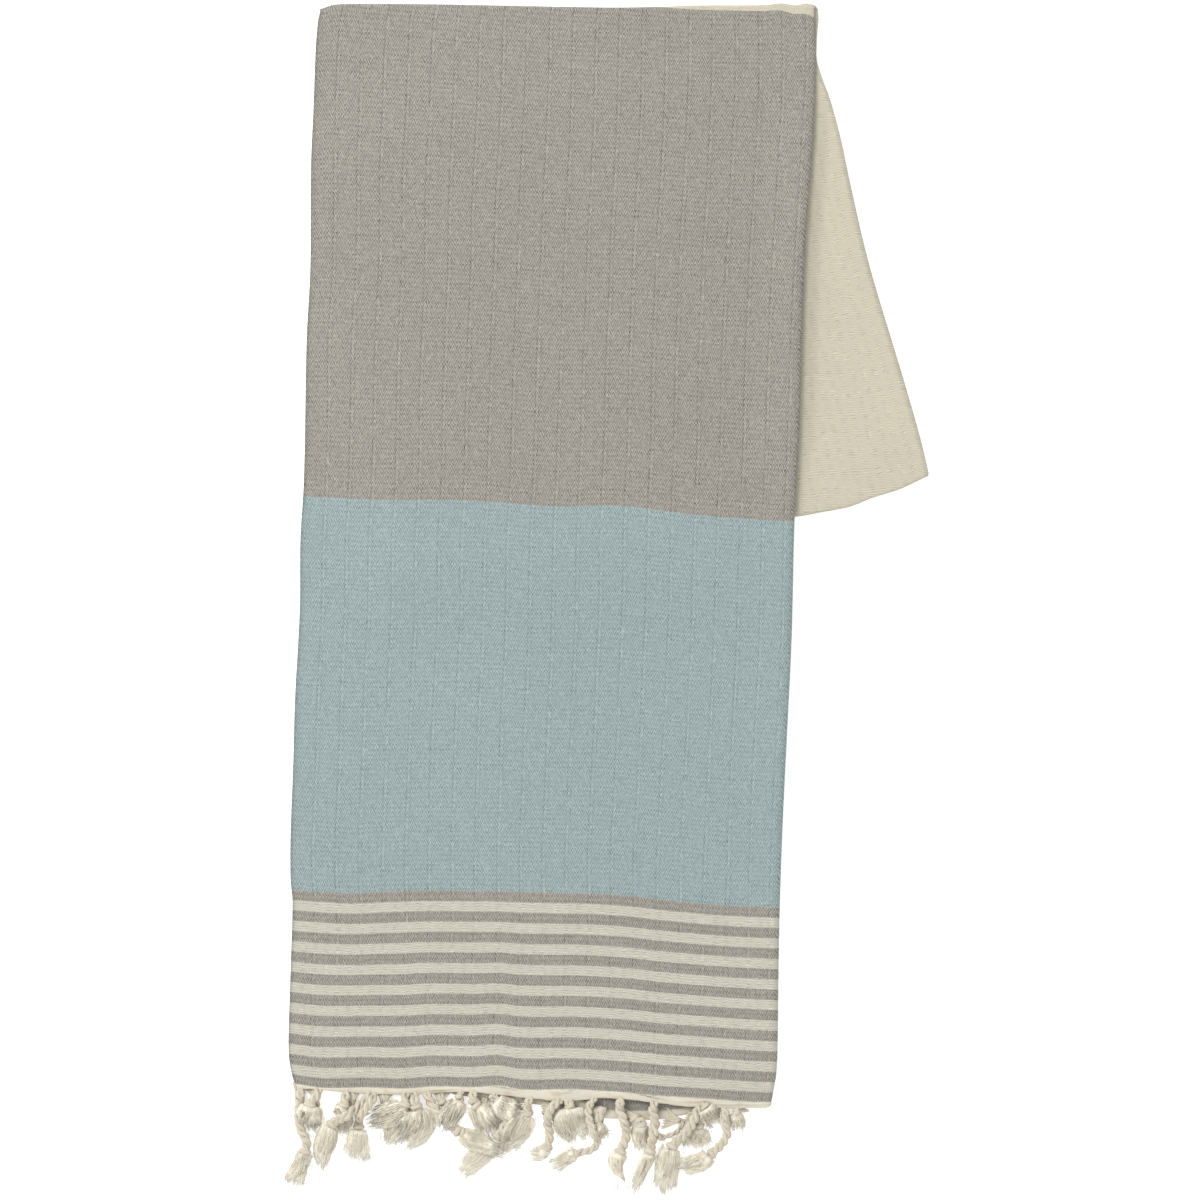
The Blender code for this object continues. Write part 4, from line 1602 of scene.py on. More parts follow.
@dataclass
class Shell:
    """A closed soft body, shaped from a sphere whose rings are spread along its way."""

    piece: Piece
    ring: Array
    side: Array

    @staticmethod
    def round(name: str, sides: int, rings: int) -> "Shell":
        """Add the sphere.

        Args:
            name: The object's name.
            sides: Places round the body.
            rings: Stretches along it.

        Returns:
            The body, still round.
        """
        deselect()
        bpy.ops.mesh.primitive_uv_sphere_add(segments=sides, ring_count=rings, radius=1.0)
        piece = bpy.context.object
        piece.name = name
        places = read_points(piece)
        polar = np.arccos(np.clip(places[:, 2], -1.0, 1.0))
        ring = np.rint(polar / math.pi * rings).astype(int)
        turn = np.arctan2(places[:, 1], places[:, 0])
        side = np.rint(turn / math.tau * sides).astype(int) % sides
        return Shell(piece, ring, side)

    @staticmethod
    def section(sides: int) -> tuple[Array, Array]:
        """Give a soft body's section.

        Args:
            sides: Places round the body.

        Returns:
            Places across, from -1 to 1, and up, from 0 to 1.
        """
        turn = math.tau * np.arange(sides)[:, None] / sides
        across = np.sign(np.cos(turn)) * np.abs(np.cos(turn)) ** 0.7
        top = crown(across)
        return across, np.where(np.sin(turn) >= 0, top, 1.0 - top)

    def shape(self, places: Array, strand: Array, tone: Array) -> Piece:
        """Put its points in place, with flat ends.

        Args:
            places: For each side and ring, x, y, z.
            strand: For each side and ring, place across in mm, height in mm, and run.
            tone: For each side and ring, chance tone, share of the tassel, and twist.

        Returns:
            The finished object.
        """
        places = places.copy()
        places[:, 0] = places[:, 1].mean(axis=0)
        places[:, -1] = places[:, -2].mean(axis=0)
        at = (self.side, self.ring)
        return finish_soft(self.piece, places[at], strand[at], tone[at])


@dataclass(frozen=True)
class TasselSizes:
    """Sizes that all tassels of a fringe share."""

    cord_width: float = 9.6 * MM
    cord_height: float = 7.6 * MM
    root_width: float = 7.4 * MM
    root_height: float = 4.2 * MM
    knot_width: float = 12.0 * MM
    knot_height: float = 9.0 * MM
    knot_wraps: float = 1.55
    knot_advance: float = 5.0 * MM
    knot_rings: int = 22
    twist: float = 13.5 * MM
    ply_share: float = 0.30
    gather_start: float = -2.6 * MM
    gather_sides: int = 16
    gather_rings: int = 8
    fan_width: float = 21.0 * MM
    fan_yarns: int = 9
    fan_rings: int = 5
    fan_radius: float = 0.5 * MM
    brush_sides: int = 24
    brush_rings: int = 12
    brush_height: float = 5.4 * MM
    tip_height: float = 2.4 * MM
    yarn_radius: float = 0.27 * MM
    yarn_rings: int = 4
    yarns_per_mm2: float = 0.20
    strays: int = 7
    stray_rings: int = 6
    stray_radius: float = 0.22 * MM
    ply_sides: int = 9
    ply_step: float = 1.4 * MM


@dataclass
class Route:
    """The way of one tassel over the surface, a place for each step of its length."""

    step: float
    middle: Array
    heading: Array
    low: Array

    def at(self, run: Array) -> tuple[Array, Array, Array]:
        """Read the way, which runs straight on past both ends.

        Args:
            run: Distances from the root.

        Returns:
            Middle points, headings and resting heights.
        """
        runs = np.arange(len(self.heading)) * self.step
        heading = np.interp(run, runs, self.heading)
        low = np.interp(run, runs, self.low)
        x = np.interp(run, runs, self.middle[:, 0])
        y = np.interp(run, runs, self.middle[:, 1])
        past = np.where(run < 0, run, np.maximum(run - runs[-1], 0.0))
        x = x + past * np.sin(heading)
        y = y - past * np.cos(heading)
        return rows_of(x, y), heading, low

    def place(self, run: Array, aside: Array) -> tuple[Array, Array, Array]:
        """Give plan places beside the way.

        Args:
            run: Distances from the root.
            aside: Distances to its side.

        Returns:
            x, y and the way's resting height.
        """
        middle, heading, low = self.at(run)
        x = middle[..., 0] + aside * np.cos(heading)
        y = middle[..., 1] + aside * np.sin(heading)
        return x, y, low


@dataclass
class Tassel:
    """One knotted tassel: its way from its root in the hem to the knot, and on to the cut."""

    way: Array
    knot: int
    widths: tuple[float, float, float]
    layer: Layer
    slim: float = 1.0
    fan: float = 0.0
    number: int = 0
    step: float = 1.0 * MM

    @property
    def marks(self) -> Array:
        """Distances from the root to the places that the way passes."""
        spans = np.linalg.norm(np.diff(self.way, axis=0), axis=1)
        return np.concatenate(((0.0,), np.cumsum(spans)))

    @property
    def cord(self) -> float:
        """Length from the root to the knot's middle."""
        return float(self.marks[self.knot])

    @property
    def length(self) -> float:
        """Whole length."""
        return float(self.marks[-1])

    @property
    def swell(self) -> float:
        """Distance from the root at which the cord is full."""
        return min(0.7 * self.cord, 10.0 * MM if self.fan else 5.0 * MM)

    def route(self) -> Route:
        """Walk the tassel's way over the plan, still flat on the surface.

        Returns:
            The way.
        """
        runs = np.arange(round(self.length / self.step) + 1) * self.step
        x = Line(*zip(self.marks, self.way[:, 0]))(runs)
        y = Line(*zip(self.marks, self.way[:, 1]))(runs)
        heading = np.unwrap(np.arctan2(np.gradient(x), -np.gradient(y)))
        return Route(self.step, rows_of(x, y), heading, np.zeros(len(runs)))


@dataclass
class BrushForm:
    """The form that one brush's yarns fill: its spread, its crown and its uneven cut."""

    tassel: Tassel
    route: Route
    sizes: TasselSizes
    bed: Bed
    phases: Array
    slant: float

    @property
    def paleness_with_under_shade(self) -> Span:
        """Shares of the yarn's colours at the knot and at the cut; the lower row's are browner, as
        painted shade for lying under the upper row.
        """
        return (0.62, 0.96) if self.tassel.layer is Layer.UPPER else (0.52, 0.80)

    def end(self, side: Array) -> Array:
        """Give the share of the brush's length at which it is cut, by the place across."""
        ragged = 0.035 * np.sin(6.0 * side + self.phases[0])
        ragged = ragged + 0.030 * np.sin(14.0 * side + self.phases[1])
        return 0.90 - 0.15 * side**2 + self.slant * side + ragged

    def spread(self, share: Array, side: Array) -> tuple[Array, Array]:
        """Give plan places in the brush.

        Args:
            share: Shares from the knot to the cut.
            side: Places across, from -1 to 1.

        Returns:
            Their x and y.
        """
        reach = self.tassel.length - self.tassel.cord
        run = self.tassel.cord + share * reach * self.end(side)
        first, middle, last = self.tassel.widths
        half = Line((0.0, first), (0.5, middle), (1.0, last))(share) * MM / 2
        sway = 0.05 * half * np.sin(5.0 * share + 3.0 * side + self.phases[2])
        x, y, _ = self.route.place(run, side * half + sway)
        return x, y

    def base(self, x: Array, y: Array, share: Array) -> Array:
        """Give the height on which the brush lies, held up at the knot.

        Args:
            x: Plan places, along the brush on the last axis.
            y: Plan places.
            share: Shares from the knot to the cut.

        Returns:
            The heights.
        """
        _, _, low = self.route.at(np.array([self.tassel.cord]))
        pile = slide_mean(slide_max(self.bed.under(x, y), 1), 1)
        return mix(low[0] + 0.2 * self.sizes.knot_height, pile, ease(share, 0.0, 0.5))

    def height(self, share: Array, side: Array) -> Array:
        """Give the brush's thickness, thinner towards its cut and sides, in soft locks."""
        tall = mix(self.sizes.brush_height, self.sizes.tip_height, ease(share, 0.1, 0.95))
        locks = 0.5 + 0.5 * np.sin(8.0 * side + self.phases[3])
        return tall * np.sqrt(1.0 - 0.5 * side**2) * (0.86 + 0.22 * locks * ease(share, 0.1, 0.6))


@dataclass
class TasselMaker:
    """Builds the pieces of one tassel after another and lays them on the pile."""

    sizes: TasselSizes
    bed: Bed
    rng: np.random.Generator

    def draw(self, low: float, high: float, count: int) -> Array:
        """Draw a chance value for each strand, as a column."""
        return self.rng.uniform(low, high, count)[:, None]

    def cord_size(self, tassel: Tassel, run: Array) -> tuple[Array, Array]:
        """Give the cord's width and height along it.

        Args:
            tassel: The tassel.
            run: Distances from the root.

        Returns:
            Widths and heights.
        """
        full = ease(run, -1.5 * MM, tassel.swell)
        width = mix(self.sizes.root_width, self.sizes.cord_width, full)
        height = mix(self.sizes.root_height, self.sizes.cord_height, full)
        return width * tassel.slim, height * tassel.slim

    def lay(self, tassel: Tassel, route: Route, root_low: float) -> None:
        """Let the cord and knot down on what lies there, and keep their top.

        Args:
            tassel: The tassel.
            route: Its way, whose resting heights are set.
            root_low: Lower side of its root.
        """
        count = round(tassel.cord / tassel.step) + 6
        runs = np.arange(min(count, len(route.heading))) * tassel.step
        width, height = self.cord_size(tassel, runs)
        knot = 1.0 - ease(np.abs(runs - tassel.cord), 3.0 * MM, 6.0 * MM)
        width = mix(width, self.sizes.knot_width * tassel.slim, knot)
        height = mix(height, self.sizes.knot_height * tassel.slim, knot)
        sides = np.linspace(-0.42, 0.42, 7)
        x, y, _ = route.place(runs[:, None], width[:, None] * sides)
        need = slide_max(self.bed.under(x, y).max(axis=1), 2)
        need = slide_mean(need, 3)
        hang = root_low * (1.0 - ease(runs, 0.0, 16.0 * MM))
        low = np.maximum(need * ease(runs, 0.0, 5.0 * MM), hang)
        route.low[:len(runs)] = low
        route.low[len(runs):] = low[-1]
        top = low[:, None] + height[:, None] * np.sqrt(1.0 - (2 * sides) ** 2 * 0.9)
        self.bed.put(x, y, top)

    def build(self, tassel: Tassel, root_height: float) -> list[Piece]:
        """Lay one tassel on the pile and build all its pieces.

        Args:
            tassel: The tassel.
            root_height: Where the middle of its root lies.

        Returns:
            The pieces.
        """
        route = tassel.route()
        self.lay(tassel, route, max(root_height - self.sizes.root_height / 2, 0.0))
        pieces = [self.plies(tassel, route), self.knot(tassel, route)]
        if tassel.fan:
            pieces += self.gather(tassel, route)
        form = BrushForm(tassel, route, self.sizes, self.bed,
                         self.rng.uniform(0.0, math.tau, 4), self.rng.uniform(-0.07, 0.07))
        pieces += self.brush(form)
        if self.sizes.strays:
            pieces.append(self.stray(tassel, route))
        return pieces

    def plies(self, tassel: Tassel, route: Route) -> Piece:
        """Twist two plies into the cord.

        Args:
            tassel: The tassel.
            route: Its way.

        Returns:
            The plies.
        """
        sizes = self.sizes
        start, end = -1.0 * MM, tassel.cord
        rings = max(round((end - start) / sizes.ply_step), 6)
        run = np.linspace(start, end, rings + 1)
        width, height = self.cord_size(tassel, run)
        thick = sizes.ply_share * (0.45 * width + 0.55 * height)
        bulge = 1.0 + 0.07 * np.sin(run * 900.0 + tassel.number) + 0.04 * np.sin(run * 2300.0)
        phase = -math.tau * run / sizes.twist + 1.7 * tassel.number
        phase = phase + np.array([[0.0], [math.pi]])
        aside = (width / 2 - thick) * np.cos(phase)
        up = height / 2 + (height / 2 - thick) * np.sin(phase)
        x, y, low = route.place(run, aside)
        strands = StrandSet.straight("ply", sizes.ply_sides, rings, 2)
        tone = rows_of(self.rng.uniform(0.3, 0.7, 2), 0.15, 0.5)
        return strands.sweep(rows_of(x, y, low + up), thick * bulge, tone, twisted=1.0)

    def knot(self, tassel: Tassel, route: Route) -> Piece:
        """Wrap the knot round the cord's end.

        Args:
            tassel: The tassel.
            route: Its way.

        Returns:
            The knot.
        """
        sizes = self.sizes
        rings = sizes.knot_rings
        share = np.linspace(0.0, 1.0, rings + 1)
        tuck = ease(np.minimum(share, 1.0 - share), 0.0, 0.22)
        width = sizes.knot_width * tassel.slim
        thick = 0.21 * width
        phase = math.tau * sizes.knot_wraps * share + 0.9 * tassel.number
        aside = (width / 2 - thick) * mix(0.25, 1.0, tuck) * np.cos(phase)
        middle = sizes.knot_height * tassel.slim / 2
        up = middle + (middle - thick) * mix(0.25, 1.0, tuck) * np.sin(phase)
        run = tassel.cord + sizes.knot_advance * (share - 0.5)
        run = run + 1.4 * MM * np.sin(phase * 0.5)
        x, y, low = route.place(run, aside)
        _, heading, _ = route.at(np.array([tassel.cord]))
        axis = np.array((math.sin(heading[0]), -math.cos(heading[0]), 0.0))
        strands = StrandSet.straight("knot", sizes.ply_sides, rings, 1)
        tone = rows_of([self.rng.uniform(0.3, 0.8)], 0.25, 0.45)
        radii = thick * (1.0 + 0.08 * np.sin(9.0 * share + tassel.number))
        return strands.sweep(rows_of(x, y, low + up)[None], radii, tone, twisted=1.0, upright=axis)

    def gather(self, tassel: Tassel, route: Route) -> list[Piece]:
        """Draw the warp yarns together from the hem into the cord.

        Args:
            tassel: The tassel.
            route: Its way.

        Returns:
            The gathered cloth end, and single yarns that run over it into the cord.
        """
        sides, rings = self.sizes.gather_sides, self.sizes.gather_rings
        across, up = Shell.section(sides)
        run, x, y, low, tall = self.drawn(tassel, route, across, rings)
        tall = tall * (1.0 + 0.16 * np.sin(11.0 * across + tassel.number))
        body = Shell.round("gather", sides, rings)
        strand = rows_of(5.5 * across, tall * up / MM, run + 0.11 * tassel.number)
        tone = np.broadcast_to((0.5, 0.30, 0.0), strand.shape)
        pieces = [body.shape(rows_of(x, y, low + tall * up), strand, tone)]
        count = self.sizes.fan_yarns
        if not count:
            return pieces
        rings = self.sizes.fan_rings
        spread = np.linspace(-0.95, 0.95, count)[:, None] + self.draw(-0.08, 0.08, count)
        _, x, y, low, tall = self.drawn(tassel, route, spread, rings)
        z = low + tall * crown(spread) + 0.15 * MM
        strands = StrandSet.straight("fan", 4, rings, count)
        tone = rows_of(self.rng.uniform(0.0, 1.0, count), 0.4, 0.3)
        pieces.append(strands.sweep(rows_of(x, y, z), self.sizes.fan_radius, tone))
        return pieces

    def drawn(self, tassel: Tassel, route: Route, side: Array, rings: int) -> tuple[Array, ...]:
        """Give places in the warp yarns that narrow from the hem into the cord.

        Args:
            tassel: The tassel.
            route: Its way.
            side: Places across, from -1 to 1, as a column.
            rings: Stretches along it.

        Returns:
            Runs, x, y, resting heights and thicknesses.
        """
        share = np.linspace(0.0, 1.0, rings + 1)[None, :]
        run = mix(self.sizes.gather_start, tassel.swell + 2.0 * MM, share) + 0.0 * side
        width, height = self.cord_size(tassel, run)
        drawn = ease(share, 0.0, 0.95)
        x, y, low = route.place(run, side * mix(tassel.fan / 2, 0.42 * width, drawn))
        return run, x, y, low, mix(1.6 * MM, 0.86 * height, drawn)

    def brush(self, form: BrushForm) -> list[Piece]:
        """Spread the yarns past the knot: a soft body, and single yarns over it.

        Args:
            form: The brush's form.

        Returns:
            The body and its yarns.
        """
        sides, rings = self.sizes.brush_sides, self.sizes.brush_rings
        across, up = Shell.section(sides)
        share = np.linspace(0.0, 1.0, rings + 1)[None, :] + 0.0 * across
        x, y = form.spread(share, across)
        tall = form.height(share, across)
        base = form.base(x, y, share)
        body = Shell.round("brush", sides, rings)
        aside = form.tassel.widths[1] / 2 * across
        strand = rows_of(aside, tall * up / MM, 0.024 * share + 0.13 * form.tassel.number)
        tone = rows_of(0.4, mix(*form.paleness_with_under_shade, share), 0.0)
        pieces = [body.shape(rows_of(x, y, base + tall * up), strand, tone), self.yarns(form)]
        self.put_brush(form)
        return pieces

    def put_brush(self, form: BrushForm) -> None:
        """Keep the brush's top, for what comes to lie on it.

        Args:
            form: The brush's form.
        """
        side = np.linspace(-0.95, 0.95, 25)[:, None]
        share = np.linspace(0.1, 1.0, 40)[None, :] + 0.0 * side
        x, y = form.spread(share, side)
        top = form.base(x, y, share) + form.height(share, side) * crown(side)
        self.bed.put(x, y, top)

    def yarns(self, form: BrushForm) -> Piece:
        """Lay single yarns over the brush's body, a little past its cut.

        Args:
            form: The brush's form.

        Returns:
            The yarns.
        """
        rings = self.sizes.yarn_rings
        area = form.tassel.widths[1] * (form.tassel.length - form.tassel.cord) / MM
        count = round(self.sizes.yarns_per_mm2 * area)
        side = self.draw(-1.05, 1.05, count)
        start = self.draw(0.02, 0.80, count)
        end = 1.0 + self.draw(-0.08, 0.34, count) * self.draw(0.2, 1.0, count)
        step = np.linspace(0.0, 1.0, rings + 1)[None, :]
        share = mix(start, end, step)
        wander = 0.09 * np.sin(self.draw(0.0, math.tau, count) + 4.0 * step)
        x, y = form.spread(share, side + wander)
        ground = form.base(x, y, share)
        top = form.height(np.minimum(share, 1.0), side) * crown(side)
        z = ground + top + self.draw(-0.12, 0.16, count) * MM
        past = ease(share, 1.0, 1.25)
        z = np.maximum(z * (1.0 - 0.5 * past), self.sizes.yarn_radius)
        strands = StrandSet.straight("yarn", 3, rings, count)
        near, far = form.paleness_with_under_shade
        tone = rows_of(self.rng.uniform(0.0, 1.0, count), mix(near, far, start[:, 0]), far + 0.08)
        radii = self.sizes.yarn_radius * mix(1.1, 0.7, step)
        return strands.sweep(rows_of(x, y, z), radii, tone)

    def stray(self, tassel: Tassel, route: Route) -> Piece:
        """Let a few single yarns stick out of the brush.

        Args:
            tassel: The tassel.
            route: Its way.

        Returns:
            The yarns.
        """
        rings, count = self.sizes.stray_rings, self.sizes.strays
        brush = tassel.length - tassel.cord
        first = tassel.cord + self.draw(0.55, 0.95, count) * brush
        sign = np.where(self.draw(0.0, 1.0, count) < 0.5, -1.0, 1.0)
        share = np.linspace(0.0, 1.0, rings + 1)[None, :]
        length = self.draw(5.0, 15.0, count) * MM
        lean = self.draw(0.1, 0.8, count) * sign
        bend = self.draw(-0.6, 0.8, count) * sign
        side = sign * self.draw(0.3, 0.85, count) * tassel.widths[1] * MM / 2
        aside = side + length * share * np.sin(lean + bend * share)
        run = first + length * share * np.cos(lean + bend * share)
        x, y, _ = route.place(run, aside)
        z = slide_mean(self.bed.under(x, y), 1) + 0.3 * MM
        z = np.maximum(mix(z, z * 0.6, share), 0.3 * MM)
        strands = StrandSet.straight("stray", 3, rings, count)
        tone = rows_of(self.rng.uniform(0.0, 0.5, count), 1.1, 1.4)
        radii = self.sizes.stray_radius * mix(1.0, 0.7, share)
        return strands.sweep(rows_of(x, y, z), radii, tone)


# Each tassel, in mm from the hem's left end: its root, the places that its cord passes down to
# the knot, those that its brush passes down to the cut, the brush's widths, and its size
UNDER_TASSELS = (
    (4, ((1, 10), (0, 23), (2, 37), (7, 47), (6, 56)), ((2, 67), (-2, 78), (-5, 89)),
     (16, 14, 18), 1.0),
    (16, ((16, 12), (14, 21)), ((13, 29), (13, 38)), (12, 15, 13), 0.8),
    (48, ((48, 12), (44, 22)), ((40, 32), (38, 41)), (12, 15, 12), 0.8),
    (77, ((77, 10), (78, 15)), ((81, 24), (83, 34)), (12, 20, 18), 0.8),
    (100, ((100, 12), (98, 21)), ((92, 30), (86, 40), (82, 50)), (14, 24, 18), 0.9),
    (127, ((128, 9), (130, 14)), ((136, 19), (142, 25)), (14, 19, 16), 0.8),
    (164, ((167, 11), (170, 19)), ((175, 27), (178, 37)), (14, 20, 19), 0.9),
    (192, ((193, 15), (190, 26), (184, 36), (178, 45)), ((169, 55), (158, 65), (146, 75)),
     (15, 20, 17), 1.0),
    (216, ((221, 15), (229, 20)), ((236, 26), (241, 34)), (12, 16, 14), 0.8),
    (274, ((274, 18), (271, 25), (269, 32)), ((273, 39), (277, 45)), (12, 13, 10), 0.8),
    (307, ((308, 27), (308, 32)), ((308, 41), (310, 56)), (14, 15, 16), 0.9),
    (346, ((346, 30), (343, 36), (339, 40), (327, 44)), ((324, 43), (320, 42)), (6, 6, 5),
     0.55),
    (361, ((361, 27), (360, 34)), ((358, 43), (359, 54)), (16, 25, 26), 0.9),
    (396, ((395, 19), (394, 22)), ((395, 29), (395, 38)), (12, 14, 14), 0.8),
)
UPPER_TASSELS = (
    (18, ((16, 6), (11, 13)), ((10, 21), (6, 33)), (14, 25, 22), 1.0),
    (42, ((42, 8), (41, 14)), ((38, 20), (35, 26)), (12, 14, 12), 1.0),
    (63, ((59, 11), (51, 18), (40, 24), (30, 32)), ((25, 43), (21, 57), (20, 71)),
     (16, 19, 14), 1.0),
    (67, ((64, 13), (57, 22), (54, 28), (54, 35)), ((53, 46), (51, 65)), (14, 20, 24), 0.9),
    (95, ((96, 8), (96, 14)), ((87, 20), (76, 25), (64, 29)), (16, 23, 20), 1.0),
    (104, ((105, 9), (107, 16)), ((108, 27), (104, 39), (95, 50)), (17, 30, 24), 1.0),
    (113, ((120, 13), (127, 22), (135, 32), (145, 39)), ((156, 46), (170, 51), (183, 56)),
     (14, 18, 15), 1.0),
    (145, ((145, 5), (145, 9)), ((141, 17), (136, 26), (132, 37)), (13, 19, 17), 0.8),
    (156, ((157, 6), (159, 13)), ((163, 22), (168, 32), (171, 40)), (14, 21, 20), 1.0),
    (175, ((175, 6), (177, 9)), ((183, 14), (191, 18), (200, 21)), (12, 20, 18), 0.8),
    (206, ((206, 13), (206, 22)), ((200, 33), (193, 45), (186, 55)), (16, 23, 19), 0.9),
    (232, ((227, 17), (224, 30), (226, 42), (223, 53)), ((217, 58), (208, 60)),
     (13, 14, 11), 0.95),
    (242, ((243, 11), (244, 15)), ((245, 26), (248, 37), (251, 47)), (18, 30, 31), 0.9),
    (263, ((261, 17), (262, 28), (266, 39), (269, 48), (264, 55), (250, 58)),
     ((242, 62), (235, 67), (228, 70)), (12, 14, 12), 0.8),
    (287, ((289, 17), (293, 29), (295, 42), (290, 56)), ((286, 65), (288, 74), (293, 83)),
     (15, 15, 6), 1.0),
    (317, ((319, 19), (321, 30), (319, 41), (316, 56)), ((312, 67), (307, 79), (303, 93)),
     (13, 12, 9), 1.0),
    (359, ((360, 18), (356, 26), (350, 37), (343, 45), (336, 52)),
     ((334, 62), (331, 77), (328, 93)), (16, 21, 20), 1.0),
    (364, ((364, 13), (366, 15)), ((370, 21), (373, 26), (377, 32)), (14, 19, 16), 0.8),
    (383, ((384, 21), (384, 32), (386, 40), (381, 50), (371, 59)),
     ((363, 66), (353, 70), (343, 72)), (14, 17, 16), 0.9),
)


@dataclass
class FrontFringe:
    """The near hem with its two rows of tassels, the lower row under the upper one."""

    folds: Folds
    sizes: TasselSizes = field(default_factory=TasselSizes)
    reach: tuple = ((-0.34, -0.60), (0.22, -0.40))
    under_hem_across: Span = (0.52, 0.93)
    under_hem_up: float = 0.16
    seed: int = 11

    def build(self) -> Piece:
        """Lay the lower row first, then the upper row over it.

        Returns:
            The fringe, with its rolled hem.
        """
        bed = Bed(*self.reach)
        self.lay_under_hem(bed)
        maker = TasselMaker(self.sizes, bed, np.random.default_rng(self.seed))
        hem = RolledHem(self.folds, "front_fringe", middle=3.2 * MM, half_width=3.6 * MM,
                        half_thick=1.15 * MM, around=24)
        pieces = [hem.build()]
        for layer, table in ((Layer.LOWER, UNDER_TASSELS), (Layer.UPPER, UPPER_TASSELS)):
            for number, row in enumerate(table):
                root = self.root_place(row[0], layer)
                pieces += maker.build(self.tassel(row, root, layer, number), root[2])
        log.info("front_fringe: %d tassels", len(UNDER_TASSELS) + len(UPPER_TASSELS))
        return join(pieces, "front_fringe")

    def root_place(self, root_mm: float, layer: Layer) -> Array:
        """Find a tassel's root on its hem, as x, y, z."""
        share = np.array([root_mm * MM / self.folds.hem_width])
        turn = np.array([0.0 if layer is Layer.UPPER else math.pi])
        return self.folds.settle(self.folds.panel_row(Part.STRIPES, 0.0, share, turn, 0.0))[0]

    def tassel(self, row: tuple, root: Array, layer: Layer, number: int) -> Tassel:
        """Read one row of a table.

        Args:
            row: Root, cord, brush, widths and size.
            root: Where the tassel leaves the hem.
            layer: The hem's layer.
            number: The tassel's place in its row.

        Returns:
            The tassel.
        """
        root_mm, cord, brush, widths, size = row
        corner = np.array((self.folds.hem_left, float(self.folds.hem_line(0.0)), 0.0))
        corner = self.folds.settle(corner)[:2]
        passed = np.array(cord + brush, float) * np.array((MM, -MM))
        way = np.concatenate((root[None, :2], corner + passed))
        fan = 0.0
        if layer is Layer.LOWER:
            fan = min(self.sizes.fan_width, 2 * root_mm * MM + 6.0 * MM)
        return Tassel(way, len(cord), widths, layer, size, fan, number)

    def lay_under_hem(self, bed: Bed) -> None:
        """Put the under layer's hem on the surface where it reaches past the upper one.

        Args:
            bed: The pile that the tassels are laid on.
        """
        across = np.linspace(*self.under_hem_across, 160)
        turn = np.full(len(across), math.pi)
        for share in np.linspace(0.0, self.under_hem_up, 24):
            row = self.folds.settle(self.folds.panel_row(Part.STRIPES, share, across, turn, 0.0))
            bed.put(row[:, 0], row[:, 1], row[:, 2] + self.folds.sheet.thick / 2)


@dataclass
class FarFringe:
    """The far hem and its tassels, pressed straight under the towel."""

    folds: Folds
    a_row: int = 13
    offsets: tuple = ((Layer.UPPER, 0.2), (Layer.LOWER, 0.7))
    lean: float = math.radians(15.0)
    sway: float = 1.0
    sway_turn: float = 2.4
    seed: int = 5
    sizes: TasselSizes = field(default_factory=lambda: TasselSizes(
        cord_width=7.4 * MM, cord_height=4.4 * MM, root_width=7.4 * MM, root_height=1.6 * MM,
        knot_width=9.2 * MM, knot_height=4.8 * MM, brush_height=4.0 * MM, tip_height=2.4 * MM,
        fan_width=9.0 * MM, fan_yarns=0, yarns_per_mm2=0.08, strays=0, ply_sides=6,
        ply_step=1.8 * MM,
    ))
    cord: float = 53.0 * MM
    brush: float = 27.0 * MM
    widths: tuple[float, float, float] = (7.5, 10.0, 11.0)
    reach: tuple = ((-0.30, 0.28), (0.32, 0.50))

    def build(self) -> Piece:
        """Lay both rows side by side on the surface.

        Returns:
            The fringe, with its rolled hem.
        """
        bed = Bed(*self.reach)
        maker = TasselMaker(self.sizes, bed, np.random.default_rng(self.seed))
        hem = RolledHem(self.folds, "far_fringe", far=True, column=6.0 * MM, uneven=0.1 * MM)
        pieces = [hem.build()]
        number = 0
        lengths = np.array((0.0, self.cord / 2, self.cord, self.cord + self.brush))[:, None]
        for layer, offset in self.offsets:
            for index in range(self.a_row):
                turn = np.array([0.0 if layer is Layer.UPPER else math.pi])
                share = np.array([(index + offset) / self.a_row])
                root = self.folds.settle(self.folds.row(Part.UNDER, 1.0, share, turn))[0]
                lean = self.lean + math.radians(self.sway * math.sin(self.sway_turn * number))
                ahead = np.array((-math.sin(lean), math.cos(lean)))
                tassel = Tassel(root[:2] + lengths * ahead, 2, self.widths, layer,
                                fan=self.sizes.fan_width, number=number)
                pieces += maker.build(tassel, root[2])
                number += 1
        log.info("far_fringe: %d tassels", number)
        return join(pieces, "far_fringe")


def join(pieces: list[Piece], name: str) -> Piece:
    """Join pieces into the first of them.

    Args:
        pieces: The pieces.
        name: The joined object's name.

    Returns:
        The joined object.
    """
    make_active(pieces[0])
    for piece in pieces:
        piece.select_set(True)
    bpy.ops.object.join()
    piece = bpy.context.object
    piece.name = name
    piece.data.name = name
    return piece


# ---- Studio


@dataclass(frozen=True)
class Panel:
    """A square light panel that faces the towel: where it hangs, its side and its watts."""

    name: str
    place: tuple[float, float, float]
    size: float
    power: float

    def hang(self) -> None:
        """Add it to the scene, unseen by the camera."""
        data = bpy.data.lights.new(self.name, "AREA")
        data.shape = "SQUARE"
        data.size = self.size
        data.energy = self.power
        panel = bpy.data.objects.new(self.name, data)
        panel.location = self.place
        panel.rotation_euler = (-Vector(self.place)).to_track_quat("-Z", "Y").to_euler()
        panel.visible_camera = False
        bpy.context.scene.collection.objects.link(panel)


